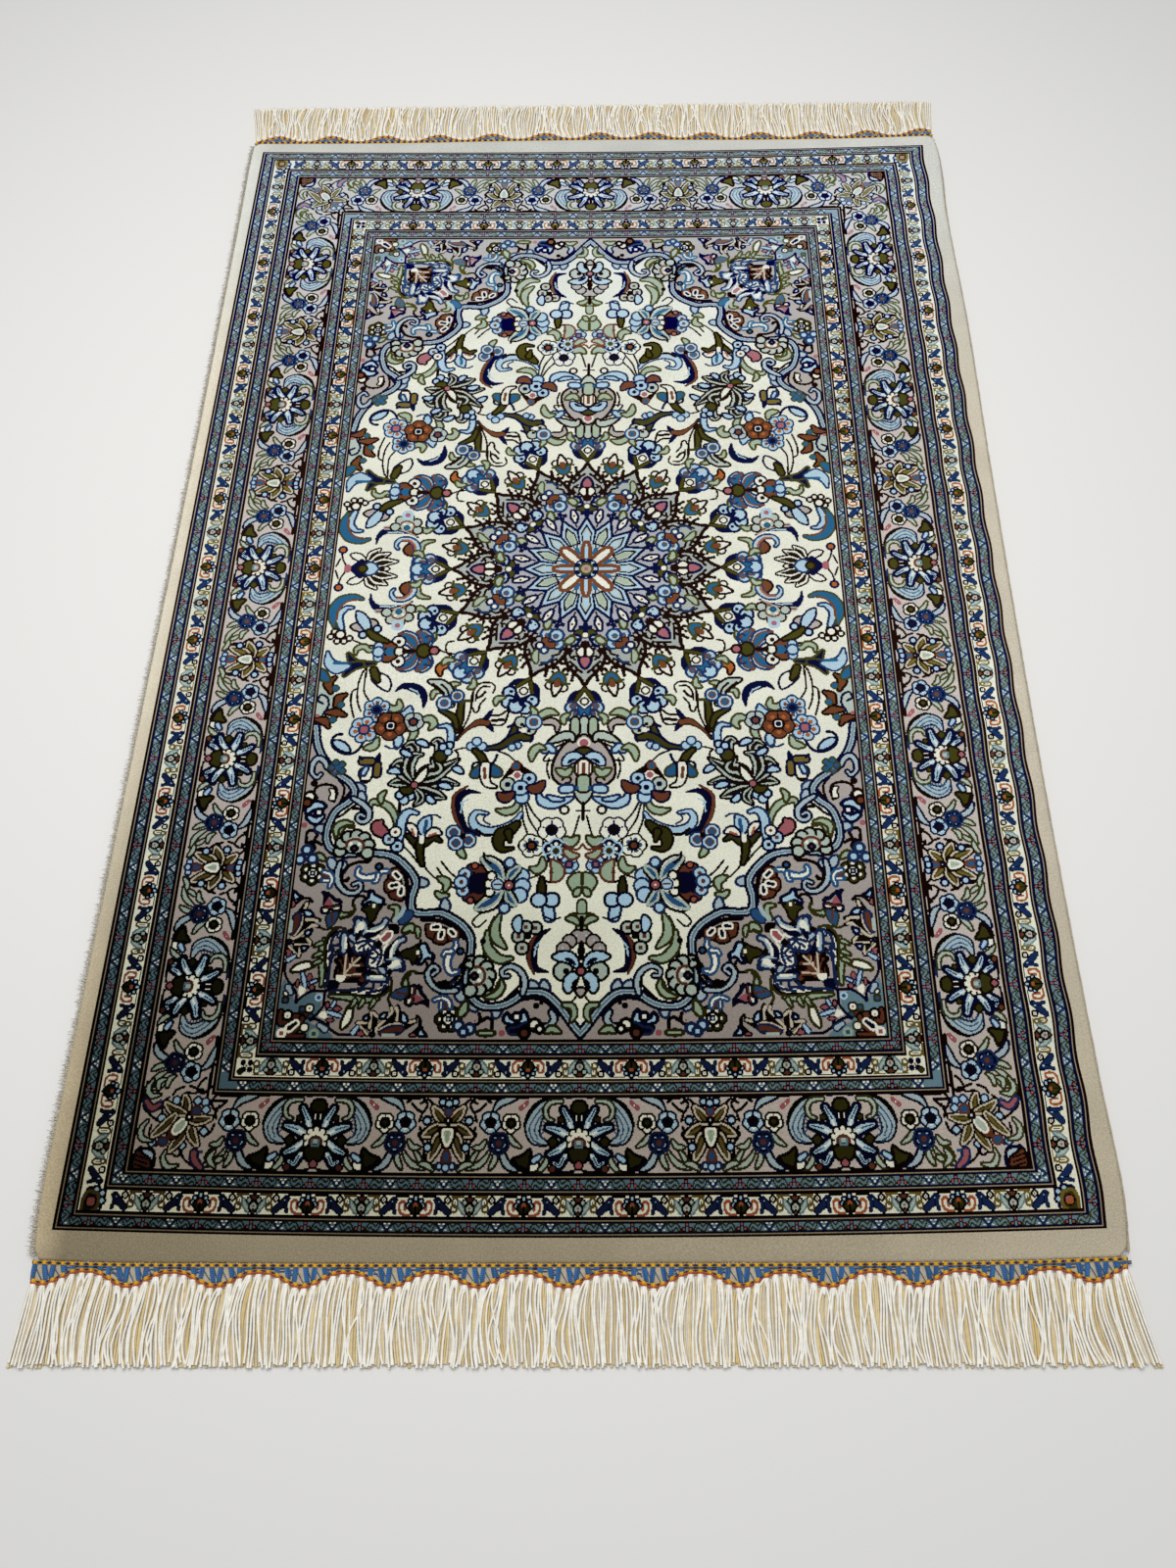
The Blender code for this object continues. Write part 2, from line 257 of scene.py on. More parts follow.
def blue_palmette(pen):
    """The main border's palmette: blue petals about a toothed ivory heart. +y is its base, outward."""
    pen.area(((-4.4, 0), (-4.4, -17), (4.4, -17), (4.4, 0)), CHALK, BROWN, 2.4)
    pen.line(((0, -3), (0, -16)), BROWN, 2.6)
    for p in pen.sides():
        for spine, width in (
            (((7, -1), (9, -11), (15, -21)), 5.4), (((9, 2), (18, -3), (29, -6)), 6.6),
            (((9, 6), (18, 12), (27, 16)), 6.2), (((8, 14), (14, 19), (18, 25), (23, 23)), 4),
        ):
            p.brush(spine, (width, 0.9 * width, width * 0.5), SKY, NAVY, 2.6)
            p.brush(spine[:2], (width * 0.5, width * 0.3), CHALK)
            p.line(spine[1:], NAVY, 0.9)
        p.area(((20, 6), (24.5, 1.5), (29, 6), (24.5, 10.5)), OLIVE, MOSS, 1.4)
        p.dot(17.5, -12.5, 4.4, OLIVE, BROWN, 1.2)
        p.line(((4, 29.5), (12, 30.5), (22, 30.5)), BROWN, 1.8)
        p.dot(24.5, 28, 4.8, RUST, BROWN, 1.2)
    pen.area(((-8, -22), (-4, -28), (4, -28), (8, -22), (4, -17.5), (-4, -17.5)), OLIVE, MOSS, 1.8)
    for k in range(9):
        a = math.radians(40 * k)
        pen.dot(9 * math.sin(a), 5 - 8 * math.cos(a), 4.8, CHALK, BROWN, 1.4)
    pen.dot(0, 5, 16, CHALK)
    pen.dot(0, 8, 8, MINT, RUST, 2.2)
    pen.area(((-10, 12), (-9, 18), (-5, 23), (5, 23), (9, 18), (10, 12), (0, 10)), OLIVE, MOSS, 1.8)
    pen.line(((-3, 6), (-3, 10), (3, 10), (3, 6)), SLATE, 1.4)
    pen.dot(0, 25, 5.6, ROSE, BROWN, 1.5)


def acanthus(pen):
    """The curled leaf beside a blue palmette, the tulip under it and the flowers up to the next lily."""
    pen.line(((8, -31), (20, -32), (31, -30)), STEEL, 2)
    pen.brush(((20, -30), (30, -27), (39, -18), (44, -6), (41, 3), (31, 7)), (1.5, 4, 10, 12, 9, 2), MIST,
        NAVY, 1.6)
    pen.brush(((28, -32), (40, -26), (48, -17), (52.5, -7)), (1.6, 4.4, 4.8, 2), BROWN)
    for spine in (
        ((34, -24), (42, -15), (47, -5), (43, 4), (36, 8)), ((33, -19), (39, -12), (42, -4), (39, 3)),
        ((36, -13), (32.5, -9), (37, -6), (33, -3), (37, 0), (33, 3)),
    ):
        pen.line(spine, TEAL, 1.0)
    pen.brush(((17, -28), (27, -27), (32, -21), (30, -14), (25, -12)), (1.5, 2.4, 3, 2.4, 1), MINT, OLIVE,
        1.6)
    pen.brush(((49.5, -27), (55.5, -22)), (4, 5), ROSE)
    pen.dot(52.5, -24.5, 1.8, CHALK)
    for spine, width in (
        (((30, 14), (30, 21), (34, 27), (39, 30)), 4.6), (((55, 10), (62, 6), (67, -1)), 4.6),
        (((78, 14), (79, 21), (83, 28)), 5), (((84, 14), (88, 20), (94, 25), (104, 28)), 5.4),
        (((88, 5), (92, 10), (99, 11)), 4.6), (((95, 14), (99, 19), (101, 24)), 4),
    ):
        leaf(pen, spine, 0.72 * width, MINT, OLIVE, edge=1.6)
    pen.area(((37, 23), (42, 21), (47, 24), (46, 30), (39, 29)), CHALK, BROWN, 1.4)
    pen.brush(((37, 18), (42, 21)), (3, 4), SKY, STEEL, 1.6)
    pen.area(((46, 12), (45, 18), (46, 24), (48, 30), (57, 27), (62, 20), (54, 17)), OLIVE, MOSS, 2)
    pen.brush(((48, 29), (56, 26), (60, 21)), (4, 4, 1.5), BROWN)
    leaf(pen, ((60, -31), (68, -29), (76, -26), (81, -20)), 4.6, MIST, NAVY, edge=1.7)
    leaf(pen, ((58, 29), (65, 26), (70, 20), (72, 13)), 5, MIST, NAVY, edge=1.7)
    for spine, width in (
        (((76, -31), (88, -30), (98, -31)), 3.4), (((89, -26), (94, -21), (99, -18), (97, -11)), 2),
        (((100, -30), (104, -25), (101, -19)), 2), (((98, -6), (101, 1), (106, 4)), 2),
        (((50, -31), (57, -31)), 2.4),
    ):
        pen.line(spine, BROWN, width)
    for x, y, width, fill, line, core, spot in (
        (64.5, -9.5, 16, CHALK, BROWN, OLIVE, RUST), (84, -10, 18, SKY, NAVY, MOSS, CHALK),
        (75.5, 7, 18, NAVY, STEEL, RUST, SKY),
    ):
        rosette(pen.at(x, y), width, 5, fill, line, core, spot)


def dark_petal(p, spine, width):
    """A pointed olive petal inside an ivory and a brown outline."""
    widths = (2, width, width * 0.8, 1)
    for colour, grown in ((BROWN, 2.7), (MARGIN, 1.3), (OLIVE, 0)):
        p.brush(spine, widths, None, colour, grown)
    p.brush(spine, [0.4 * w for w in widths], KHAKI)


def border_lily(pen):
    """The main border's lily with its dark pointed petals; +y is its stalk, outward."""
    for p in pen.sides():
        for spine, width in (
            (((3, -23), (8, -31), (20, -32), (34, -31), (40, -27)), 2.4),
            (((14, -24), (20, -29), (27, -26)), 2), (((21, -5), (27, 0), (21, 9), (21, 18), (14, 24),
            (8, 26)), 2),
        ):
            p.line(spine, BROWN, width)
        leaf(p, ((12, 29), (18, 25), (25, 24)), 3.6, MINT, OLIVE, edge=1.6)
        for spine, width in ((((2, -9), (8, -15), (14, -22)), 7), (((4, -6), (13, -3), (22, 1)), 8),
                             (((5, -3), (10, 8), (15, 20)), 7.4)):
            dark_petal(p, spine, width)
        p.dot(20, -11.5, 5, SKY, NAVY, 1.8)
        p.dot(18, 10.5, 5, SKY, NAVY, 1.8)
        p.dot(6, -27, 4.4, SKY, NAVY, 1.7)
        p.dot(6, 26, 4, SKY, STEEL, 1.7)
    pen.area(((-6.4, -5), (6.4, -5), (6.4, 3), (0, 13), (-6.4, 3)), RUST, BROWN, 1.8)
    pen.area(((-4, -3.6), (4, -3.6), (3.8, 3), (0, 9), (-3.8, 3)), MINT, CHALK, 1.6)
    pen.line(((0, -2), (0, 5)), SAGE, 2)
    pen.dot(0, -11.5, 5, NAVY, MOSS, 1.4)
    pen.dot(0, -11.5, 1.6, CHALK)
    pen.dot(0, -19, 5.6, TEAL, RUST, 1.5)
    pen.dot(0, -26, 5, SKY, NAVY, 1.7)
    pen.area(((-3.4, 22), (-3.4, 16), (0, 13), (3.4, 16), (3.4, 22)), TEAL, RUST, 1.6)
    pen.dot(0, 27, 4.6, SKY, STEEL, 1.7)


def minor_corner(p, inner):
    """The flowers where two ivory borders meet, in the pattern's own millimetres."""
    if inner:
        for u, v in ((320.5, 580), (327.5, 580), (320.5, 586.5), (326.5, 586.5)):
            p.dot(u, v, 6, NAVY)
        p.dot(324, 583, 3, TAN)
        p.dot(329.5, 588.5, 4.6, OLIVE, MOSS, 1)
        return
    for u, v in ((442, 702), (448, 699), (454, 700.5), (441.5, 708.5), (444.5, 714)):
        p.dot(u, v, 4, SKY, NAVY, 1.8)
    p.area(((446, 703), (457, 702), (459, 718), (446, 716)), OLIVE, KHAKI, 2.4)
    p.dot(451.5, 709.5, 7.5, TAN, BROWN, 1.2)
    p.dot(450, 708, 4, ROSE)


def main_corner(p):
    """The lily on the main border's mitre and the flowers round it, in the pattern's own millimetres."""
    for spine, width in (
        (((340, 616.5), (356, 616.5)), 3.6), (((357.5, 597), (357.5, 613)), 3.6),
        (((345, 621), (347, 627), (351, 631), (370, 630)), 2),
        (((361, 608), (365, 606), (370, 610), (378, 609)), 2),
        (((418, 600), (418, 621), (412, 629), (402, 636)), 2), (((377, 662), (370, 671), (359, 678)), 2),
        (((394, 614), (399, 619), (399, 627), (394, 633)), 2), (((407, 640), (407.5, 649), (400, 655)), 2),
        (((384, 665), (378, 668), (374, 664)), 2),
    ):
        p.line(spine, BROWN, width)
    for u, v, line in (
        (358.5, 618, STEEL), (366, 617, STEEL), (357, 625, STEEL), (386.5, 617, STEEL), (398, 633.5, NAVY),
        (375, 658, NAVY), (356, 645, NAVY), (400, 655, STEEL), (404, 656, STEEL),
    ):
        p.dot(u, v, 5.4, SKY, line, 1.7)
    for spine in (
        ((376, 628), (377, 620), (379, 613)), ((377, 629), (388, 626), (396, 620)),
        ((386, 631), (394, 641), (404, 650)), ((373, 643), (379, 653), (386, 663)),
        ((369, 639), (367, 648), (361, 657)), ((371, 635), (362, 635), (352, 633)),
    ):
        dark_petal(p, spine, 6)
    p.brush(((376, 637), (381, 642), (386, 648)), (7, 12, 9), RUST, BROWN, 1.2)
    p.brush(((377, 637), (380, 641), (383, 645)), (5, 7, 4), MINT, CHALK, 1.5)
    p.dot(372, 632, 5, NAVY, MOSS, 1.4)
    p.dot(372, 632, 1.6, CHALK)
    for u, v in ((366, 626), (393.5, 654.5)):
        p.area(((u - 3.4, v - 3), (u + 3.4, v - 3), (u + 3.4, v + 3.4), (u - 3.4, v + 3.4)), TEAL, RUST, 1.6)
    p.brush(((402, 621), (409, 624.5), (416, 618)), (3, 4.6, 3), ROSE, STEEL, 1.9)
    p.dot(402, 617.5, 3, TEAL)
    p.brush(((362.5, 665), (361, 671), (354, 678)), (5, 4.6, 3), ROSE, STEEL, 1.9)
    p.dot(356, 663.5, 4, TEAL)
    for spine in (
        ((400, 597), (406, 600), (406, 608)), ((412, 598), (416, 606), (412, 613), (403, 612)),
        ((411, 636), (416, 644), (414, 652), (404, 655)), ((389, 663), (391, 670), (386, 677), (376, 676)),
        ((343, 662), (347, 670), (341, 677)), ((335, 668), (341, 672)),
    ):
        leaf(p, spine, 3.6, MINT, OLIVE, edge=1.7)
    p.brush(((403, 668), (408, 665)), (4, 4), SKY)
    p.area(((417, 663), (409, 667), (403, 671), (401, 677), (404, 680), (418, 680)), RUST, BROWN, 2)
    for v in (669, 673, 677):
        p.line(((406, v + 2), (416, v - 1)), BROWN, 1.3)
    p.line(((399, 677), (399.5, 667), (403, 662.5), (414, 661)), NAVY, 3.4)


def border_grounds(shape, ring):
    """The rings' plain colours, and the margin outside them."""
    grounds = np.full(shape, MARGIN, np.uint8)
    for k in range(RINGS):
        if k % 2:
            grounds[ring >= k] = TAUPE if k == MAIN else IVORY
        else:
            for start, colour in GUARD_STRIPES:
                grounds[ring >= k + start] = colour
    return grounds


def main_stripe(pen, unit, corner):
    """The main border along one side, from its middle to the corner."""
    pen.axes = pen.axes * ((1,), (1.1 if unit == END_UNIT else 1.0,))
    repeat = 2 * HALF_REPEAT * unit
    for place in np.arange(0, corner - 60, repeat):
        for flip in (-1, 1):
            acanthus(pen.at(place, 0, flip=flip))
        blue_palmette(pen.at(place, 0))
    for place in np.arange(repeat / 2, corner - 40, repeat):
        border_lily(pen.at(place, 0))


def minor_stripe(pen, unit, corner, inner):
    """An ivory border along one side. Its flowers point away from the main border."""
    at_end = unit == END_UNIT
    pen.axes = pen.axes * ((1,), (-1 if inner else 1,))
    for j in range(int(corner / unit + (1.0 if inner else 0.2))):
        (minor_rosette if (j % 2 == 1) == at_end else minor_diamond)(pen.at(j * unit, 0))
    if not inner:
        bracket(pen.at((9 if at_end else 14) * unit, 0, flip=-1))


def paint_ring(chart, k, across, along):
    """One ring's flowers along both sides, mitred, with those that lie on its corner."""
    side = HALF[0] - (SIDE_RINGS[k] + SIDE_RINGS[k + 1]) / 2
    end = HALF[1] - (END_RINGS[k] + END_RINGS[k + 1]) / 2
    ring = np.minimum(across, along)
    here = (ring >= k) & (ring < k + 1)
    for pen, unit, corner, part in (
        (Pen(chart.copy(), 0, end), END_UNIT, side, here & (along <= across)),
        (Pen(chart.copy(), side, 0, turn=90, flip=-1), SIDE_UNIT, end, here & (across < along)),
    ):
        pen.bold = BOLD["main" if k == MAIN else "band"]
        if k % 2 == 0:
            guard_motifs(pen, unit, int(corner / unit) + 1)
        elif k == MAIN:
            main_stripe(pen, unit, corner)
        else:
            minor_stripe(pen, unit, corner, k > MAIN)
        chart[part] = pen.chart[part]
    layer = Pen(chart.copy())
    if k == MAIN:
        main_corner(layer)
    elif k % 2:
        minor_corner(layer, k > MAIN)
    chart[here] = layer.chart[here]


def paint_borders(chart):
    u = np.arange(QUARTER[0]) + 0.5
    v = np.arange(QUARTER[1]) + 0.5
    steps = np.arange(len(SIDE_RINGS))
    across = np.interp(HALF[0] - u, SIDE_RINGS, steps, left=-1)[None, :]
    along = np.interp(HALF[1] - v, END_RINGS, steps, left=-1)[:, None]
    ring = np.minimum(across, along)
    outside = ring < RINGS
    chart[outside] = border_grounds(chart.shape, ring)[outside]
    for k in range(RINGS):
        paint_ring(chart, k, across, along)


# ---------------------------------------------------------------- field
TURNS = (0.0, 22.5, 45.0, 67.5, 90.0)  # the medallion's spokes in a quarter
HALF_TURN = 11.25


def fan_blossom(pen):
    """A brown calyx with blue-eyed petals; +y is where it opens."""
    for x, y, width in ((-9, 7, 12), (9, 6, 11), (0, 13, 13)):
        pen.dot(x, y, width, SKY, STEEL, 2.2)
        pen.dot(x * 0.85, y - 1.4, width * 0.56, RUST)
        pen.dot(x * 0.8, y - 0.6, width * 0.38, TEAL)
    pen.area(((-9, -1), (-4, 4), (0, 1), (5, 5), (10, 0), (7, -5), (2, -6), (-5, -6)), RUST, BROWN, 1)
    pen.dot(-4, -10, 6, CHALK, NAVY, 2.2)
    pen.dot(4, -11, 5, CHALK, STEEL, 2.2)
    for spine in (((-15, 12), (-19, 17), (-20, 22)), ((14, 14), (16, 19), (15, 24))):
        leaf(pen, spine, 6.4, SAGE, OLIVE)


def blue_bud(pen):
    """The blue flower between the star and the rim; +y points outward."""
    for q in pen.sides():
        q.area(((3, -14), (11, -12), (13, -8), (8, -4), (3, -8)), OLIVE, MOSS, 1.4)
        q.line(((11, -11), (16, -12)), MOSS, 2)
        q.area(((5, -2), (9, -6), (17, -5), (20, 0), (17, 7), (11, 9), (8, 4)), SKY, NAVY, 2.2)
        q.dot(8, 0, 4.4, NAVY)
        q.dot(14, -2, 2.6, NAVY)
        q.line(((11, 7), (6, 10)), NAVY, 2.4)
        q.line(((3, 4), (5, 10), (9, 15)), BROWN, 2.4)
        q.line(((6, 12), (12, 13)), BROWN, 2)
        q.area(((1, 12), (5, 10), (10, 17), (6, 23), (1, 21)), CHALK, BROWN, 1.5)
        q.line(((5, 24), (11, 22), (16, 25)), BROWN, 1.9)
    pen.dot(0, -6, 6, CHALK, OLIVE, 1.4)
    pen.brush(((0, 3), (0, 12)), (4, 5), BROWN)


def teal_bud(pen):
    """A bud outside the medallion: a teal cup with pale petals; +y points outward."""
    pen.line(((0, -10), (-5, -15)), BROWN, 1.8)
    pen.line(((0, -10), (4, -17)), BROWN, 1.8)
    for x, y, width in ((-8, 8, 7), (8, 8, 7)):
        pen.dot(x, y, width, CHALK, BROWN, 1.8)
    pen.area(((-5, 5), (5, 5), (5, 12), (0, 21), (-5, 12)), CHALK, BROWN, 2)
    pen.area(((-10, 4), (-8, -4), (-4, -10), (0, -11), (4, -10), (8, -4), (10, 4), (5, 2), (0, -3), (-5, 2)),
        TEAL, OLIVE, 1.8)
    for q in pen.sides():
        q.line(((8, 3), (13, 2)), OLIVE, 2.6)
    pen.area(((-4, 5), (0, -2), (4, 5), (2, 9), (-2, 9)), RUST)


def ring_blossom(pen, heart, line):
    """A flower outside the medallion: a dark cup, an ivory spot and blue petals; +y points outward."""
    for q in pen.sides():
        leaf(q, ((5, -16), (13, -10), (19, 2)), 5, NAVY, NAVY, edge=0.6)
        q.brush(((0, -19), (6, -10), (12, 0)), (3, 4, 2), OLIVE, MOSS, 1)
        for x, y, width in ((14, 6, 12), (10, 17, 13)):
            q.dot(x, y, width, SKY, line, 2.2)
            q.dot(x * 0.9, y - 2, width * 0.36, heart, RUST if heart == TEAL else None, 1.4)
        leaf(q, ((17, 14), (23, 19), (22, 26)), 5, SAGE, OLIVE, edge=1.8)
    pen.dot(0, 19, 14, SKY, line, 2.2)
    pen.area(((-7, 3), (0, 8), (7, 3), (5, 16), (0, 12), (-5, 16)), heart, line, 1.4)
    pen.dot(0, -2, 7, CHALK, MOSS, 1.4)


def medallion_rim(centre):
    """The pointed grey rim and the fine brown sprays on it."""
    for turn in TURNS:
        p = centre.at(0, 0, turn)
        rim = [(0, 158), (5, 150), (13, 141), (20, 132), (23, 121), (23, 108)]
        p.area([(-x, y) for x, y in rim[::-1]] + rim[1:], ASH, BROWN, 3)
        for q in p.sides():
            for spine, width in (
                (((14, 146), (9, 138)), 2.6), (((19, 140), (14, 132)), 2.6), (((27, 130), (18, 128)), 3),
                (((17, 127), (10, 135), (3, 142)), 2), (((18, 114), (17, 120), (11, 125)), 2),
            ):
                q.line(spine, BROWN, width)
            for x, y in ((9.5, 138), (14.5, 133), (27, 130), (23, 137), (14, 152), (20, 144)):
                q.dot(x, y, 3.8, BROWN)
            q.line(((12, 143), (15, 152)), BROWN, 2.4)
            q.line(((17, 136), (24, 138)), BROWN, 2.4)


def medallion_ground(centre):
    """The flowers between the rim and the star, one to each spoke."""
    centre.dot(0, 0, 222, PEARL)
    for k, turn in enumerate(TURNS):
        p = centre.at(0, 0, turn)
        for side in (-1, 1):
            q = centre.at(0, 0, turn + side * HALF_TURN)
            q.line(((0, 102), (0, 121)), BROWN, 3.4)
            for x in (-7, 7):
                q.dot(x, 114, 4.4, BROWN)
            q.line(((-6, 114), (6, 114)), BROWN, 2.8)
            q.line(((-4, 106), (4, 106)), BROWN, 2)
            p.line(((side * 17, 117), (side * 16, 109), (side * 11, 105)), BROWN, 2)
        if k % 2 == 0:
            p.area(((-6, 121), (6, 121), (6, 130), (0, 137), (-6, 130)), ROSE, NAVY, 2.4)
            blue_bud(p.at(0, 98))
        else:
            p.line(((-13, 126), (-10, 134), (-3, 138)), STEEL, 2)
            leaf(p, ((8, 124), (7, 132), (2, 140)), 6, SAGE, OLIVE, edge=1.6)
    for turn, lean in ((TURNS[1], 22), (TURNS[3], -22)):
        fan_blossom(centre.at(0, 0, turn).at(0, 110, 180 + lean))
    for turn in TURNS:
        p = centre.at(0, 0, turn)
        p.line(((0, 72), (0, 84)), NAVY, 2.6)
        for x, y in ((0, 86.5), (-5, 82), (5, 82), (0, 79)):
            p.square(x, y, 2.8, NAVY)
        q = centre.at(0, 0, turn + HALF_TURN)
        q.line(((0, 62), (0, 70)), MOSS, 1.6)
        q.brush(((0, 71), (0, 78), (0, 86)), (2, 6, 2), CHALK, NAVY, 2.2)
        q.dot(0, 79, 3, RUST)


def star(centre):
    """The star's petals, stripe by stripe from the outside in. The second set lies over the first."""
    for order in (1, 0):
        bands = ((0, NAVY), (3.3, SKY), (5.8, MOSS if order else NAVY), (8.0, MINT),
            (9.8, SAGE if order else SKY))
        for turn in TURNS[order::2]:
            p = centre.at(0, 0, turn)
            for inset, colour in bands:
                half = 12.6 - 0.98 * inset
                tip = 80.0 - 2.4 * inset
                wide = (half, 55.5 - 0.5 * inset)
                rim = ((-0.62 * half, 30), (-wide[0], wide[1]), (0, tip), wide, (0.62 * half, 30))
                p.area(rim, colour, smoothed=False)


def star_heart(centre):
    """The small flowers in the star's middle."""
    centre.dot(0, 0, 72, MIST)
    for turn in TURNS[1::2]:
        r = centre.at(0, 0, turn)
        r.dot(0, 34, 9, CHALK)
        r.line(((-5, 37), (5, 37)), BROWN, 2)
        r.brush(((0, 24), (0, 30)), (5.4, 5.4), TEAL)
        r.dot(0, 34.6, 3.6, MINT, STEEL, 1)
    for turn in TURNS[0::2]:
        q = centre.at(0, 0, turn)
        widths, fill = ((4.4, 4.6, 4.6, 1), SKY) if turn != 45 else ((5, 7, 8, 6), CHALK)
        q.brush(((0, 12), (0, 20), (0, 29), (0, 36)), widths, fill, RUST, 3.4)
    for k, turn in enumerate(TURNS):
        centre.at(0, 0, turn).dot(0, 11, 4.4, NAVY if k % 2 else SKY, NAVY, 1.4)
    centre.dot(0, 0, 12, BEIGE, OLIVE, 2)
    centre.square(0, 0, 2.3, ROSE)


def medallion(chart):
    centre = Pen(chart)
    centre.bold = BOLD["main"]
    for paint in (medallion_rim, medallion_ground, star, star_heart):
        paint(centre)
    for k, turn in enumerate(TURNS):
        ring_blossom(centre.at(0, 0, turn).at(0, 181), *((NAVY, NAVY) if k % 2 else (TEAL, STEEL)))
        teal_bud(centre.at(0, 0, turn + HALF_TURN).at(0, 155))


def eyed(pen, u, v, width, heart=TEAL, iris=RUST, fill=SKY, line=STEEL):
    """A round petal with a dark eye."""
    pen.dot(u, v, width, fill, line, 1.9)
    pen.dot(u, v, width * 0.42, heart, iris, 1.4)


def crescent(pen, spine, width, stripe):
    """A royal blue sickle leaf with barbs inside it and a rust stripe along its back."""
    pen.brush(spine, (2.5, width * 0.85, width * 1.3, width * 1.3, width * 0.85, 2.5), NAVY)
    path = np.array(spine, float)
    middle = path.mean(0)
    for k in (2, 3):
        tip = path[k] + (middle - path[k]) * 0.5
        pen.brush((path[k], tip), (width * 0.9, 1.6), NAVY)
        pen.line((path[k - 1] + (middle - path[k - 1]) * 0.42, path[k] + (middle - path[k]) * 0.3), SKY, 1.4)
    if stripe:
        back = path[1:-1] + (path[1:-1] - middle) * 0.32
        pen.brush(back, (1.5, 3.6, 3.6, 1.5), RUST, BROWN, 0.6)


def scalloped(pen, radius, petals, spread, fill=MINT, line=BROWN):
    """A half-open flower: a fan of round petals behind a rust arc and a navy eye; +y is where it opens."""
    for k in range(petals):
        a = math.radians(spread * (k / (petals - 1) - 0.5))
        pen.dot(radius * math.sin(a), radius * math.cos(a), radius * 0.68, fill, line, 1.8)
    pen.dot(0, radius * 0.3, radius * 1.25, fill)
    arc = [math.radians(spread * (t / 6 - 0.5)) for t in range(7)]
    pen.line([(0.62 * radius * math.sin(a), 0.2 * radius + 0.5 * radius * math.cos(a)) for a in arc], RUST,
        1.8)
    for x in (-0.3, 0.3):
        pen.dot(x * radius, 0.35 * radius, radius * 0.28, CHALK)
    pen.dot(0, 0, radius * 0.42, NAVY, BROWN, 1)
    pen.dot(0, 0, radius * 0.2, RUST)


def vase(p):
    """The vase on the rug's long axis, below the medallion."""
    p.brush(((0, 203), (0, 224)), (8, 8), MINT, BROWN)
    p.brush(((10, 203), (10, 217)), (7, 8), SAGE, BROWN)
    p.area(((-3, 225), (9, 225), (21, 232), (30, 246), (34, 258), (34, 270), (27, 280), (12, 284),
        (-3, 284)), LILAC, BROWN, 2.6)
    p.line(((38, 250), (40, 262), (37, 274)), BROWN, 2)
    p.line(((22, 231), (36, 240), (44, 252), (34, 252)), BROWN, 2)
    p.brush(((12, 227), (15, 222), (24, 223), (38, 230)), (3, 8, 7, 1), MINT, BROWN, 2.4)
    p.dot(0, 231, 10, ROSE, CHALK, 1.4)
    p.area(((-14, 248), (-7, 238), (0, 236), (7, 238), (14, 248), (0, 245)), OLIVE, MOSS)
    leaf(p, ((3, 247), (12, 248), (22, 257)), 11, SKY, NAVY, edge=2)
    leaf(p, ((8, 250), (13, 252), (18, 256)), 4, NAVY, None)
    p.area(((0, 250), (9, 257), (9, 267), (3, 273), (-3, 273), (-9, 267), (-9, 257)), CHALK, BROWN)
    for u in (1, 6):
        p.line(((u, 256), (u, 268)), RUST, 1.6)
    p.line(((23, 276), (19, 272), (14, 274), (15, 279), (20, 280)), BROWN, 2.2)
    leaf(p, ((13, 262), (20, 268), (29, 263)), 7, SAGE, OLIVE)
    p.area(((-9, 287), (9, 287), (8, 296), (0, 304), (-8, 296)), MINT, BROWN)
    p.brush(((2, 275), (2, 285)), (8, 8), SAGE, MOSS)
    p.dot(7, 285, 5, TEAL)
    p.brush(((14, 286), (22, 287)), (7, 7), SKY, STEEL)
    p.line(((0, 303), (0, 322)), BROWN, 2.8)
    p.line(((-6, 312), (7, 312)), BROWN, 3)
    p.line(((4, 318), (7, 330), (10, 340), (13, 344)), BROWN, 1.9)
    leaf(p, ((12, 297), (22, 301), (34, 304), (45, 300), (48, 291)), 9, SKY, STEEL)
    leaf(p, ((22, 299), (32, 298), (38, 295)), 4, SKY, STEEL)
    p.dot(20, 311, 6, IVORY, BROWN)
    p.brush(((34, 240), (39, 236), (43, 240)), (5, 6, 5), SKY, STEEL)
    leaf(p, ((43, 238), (50, 236), (56, 243), (57, 252)), 7, SAGE, OLIVE)


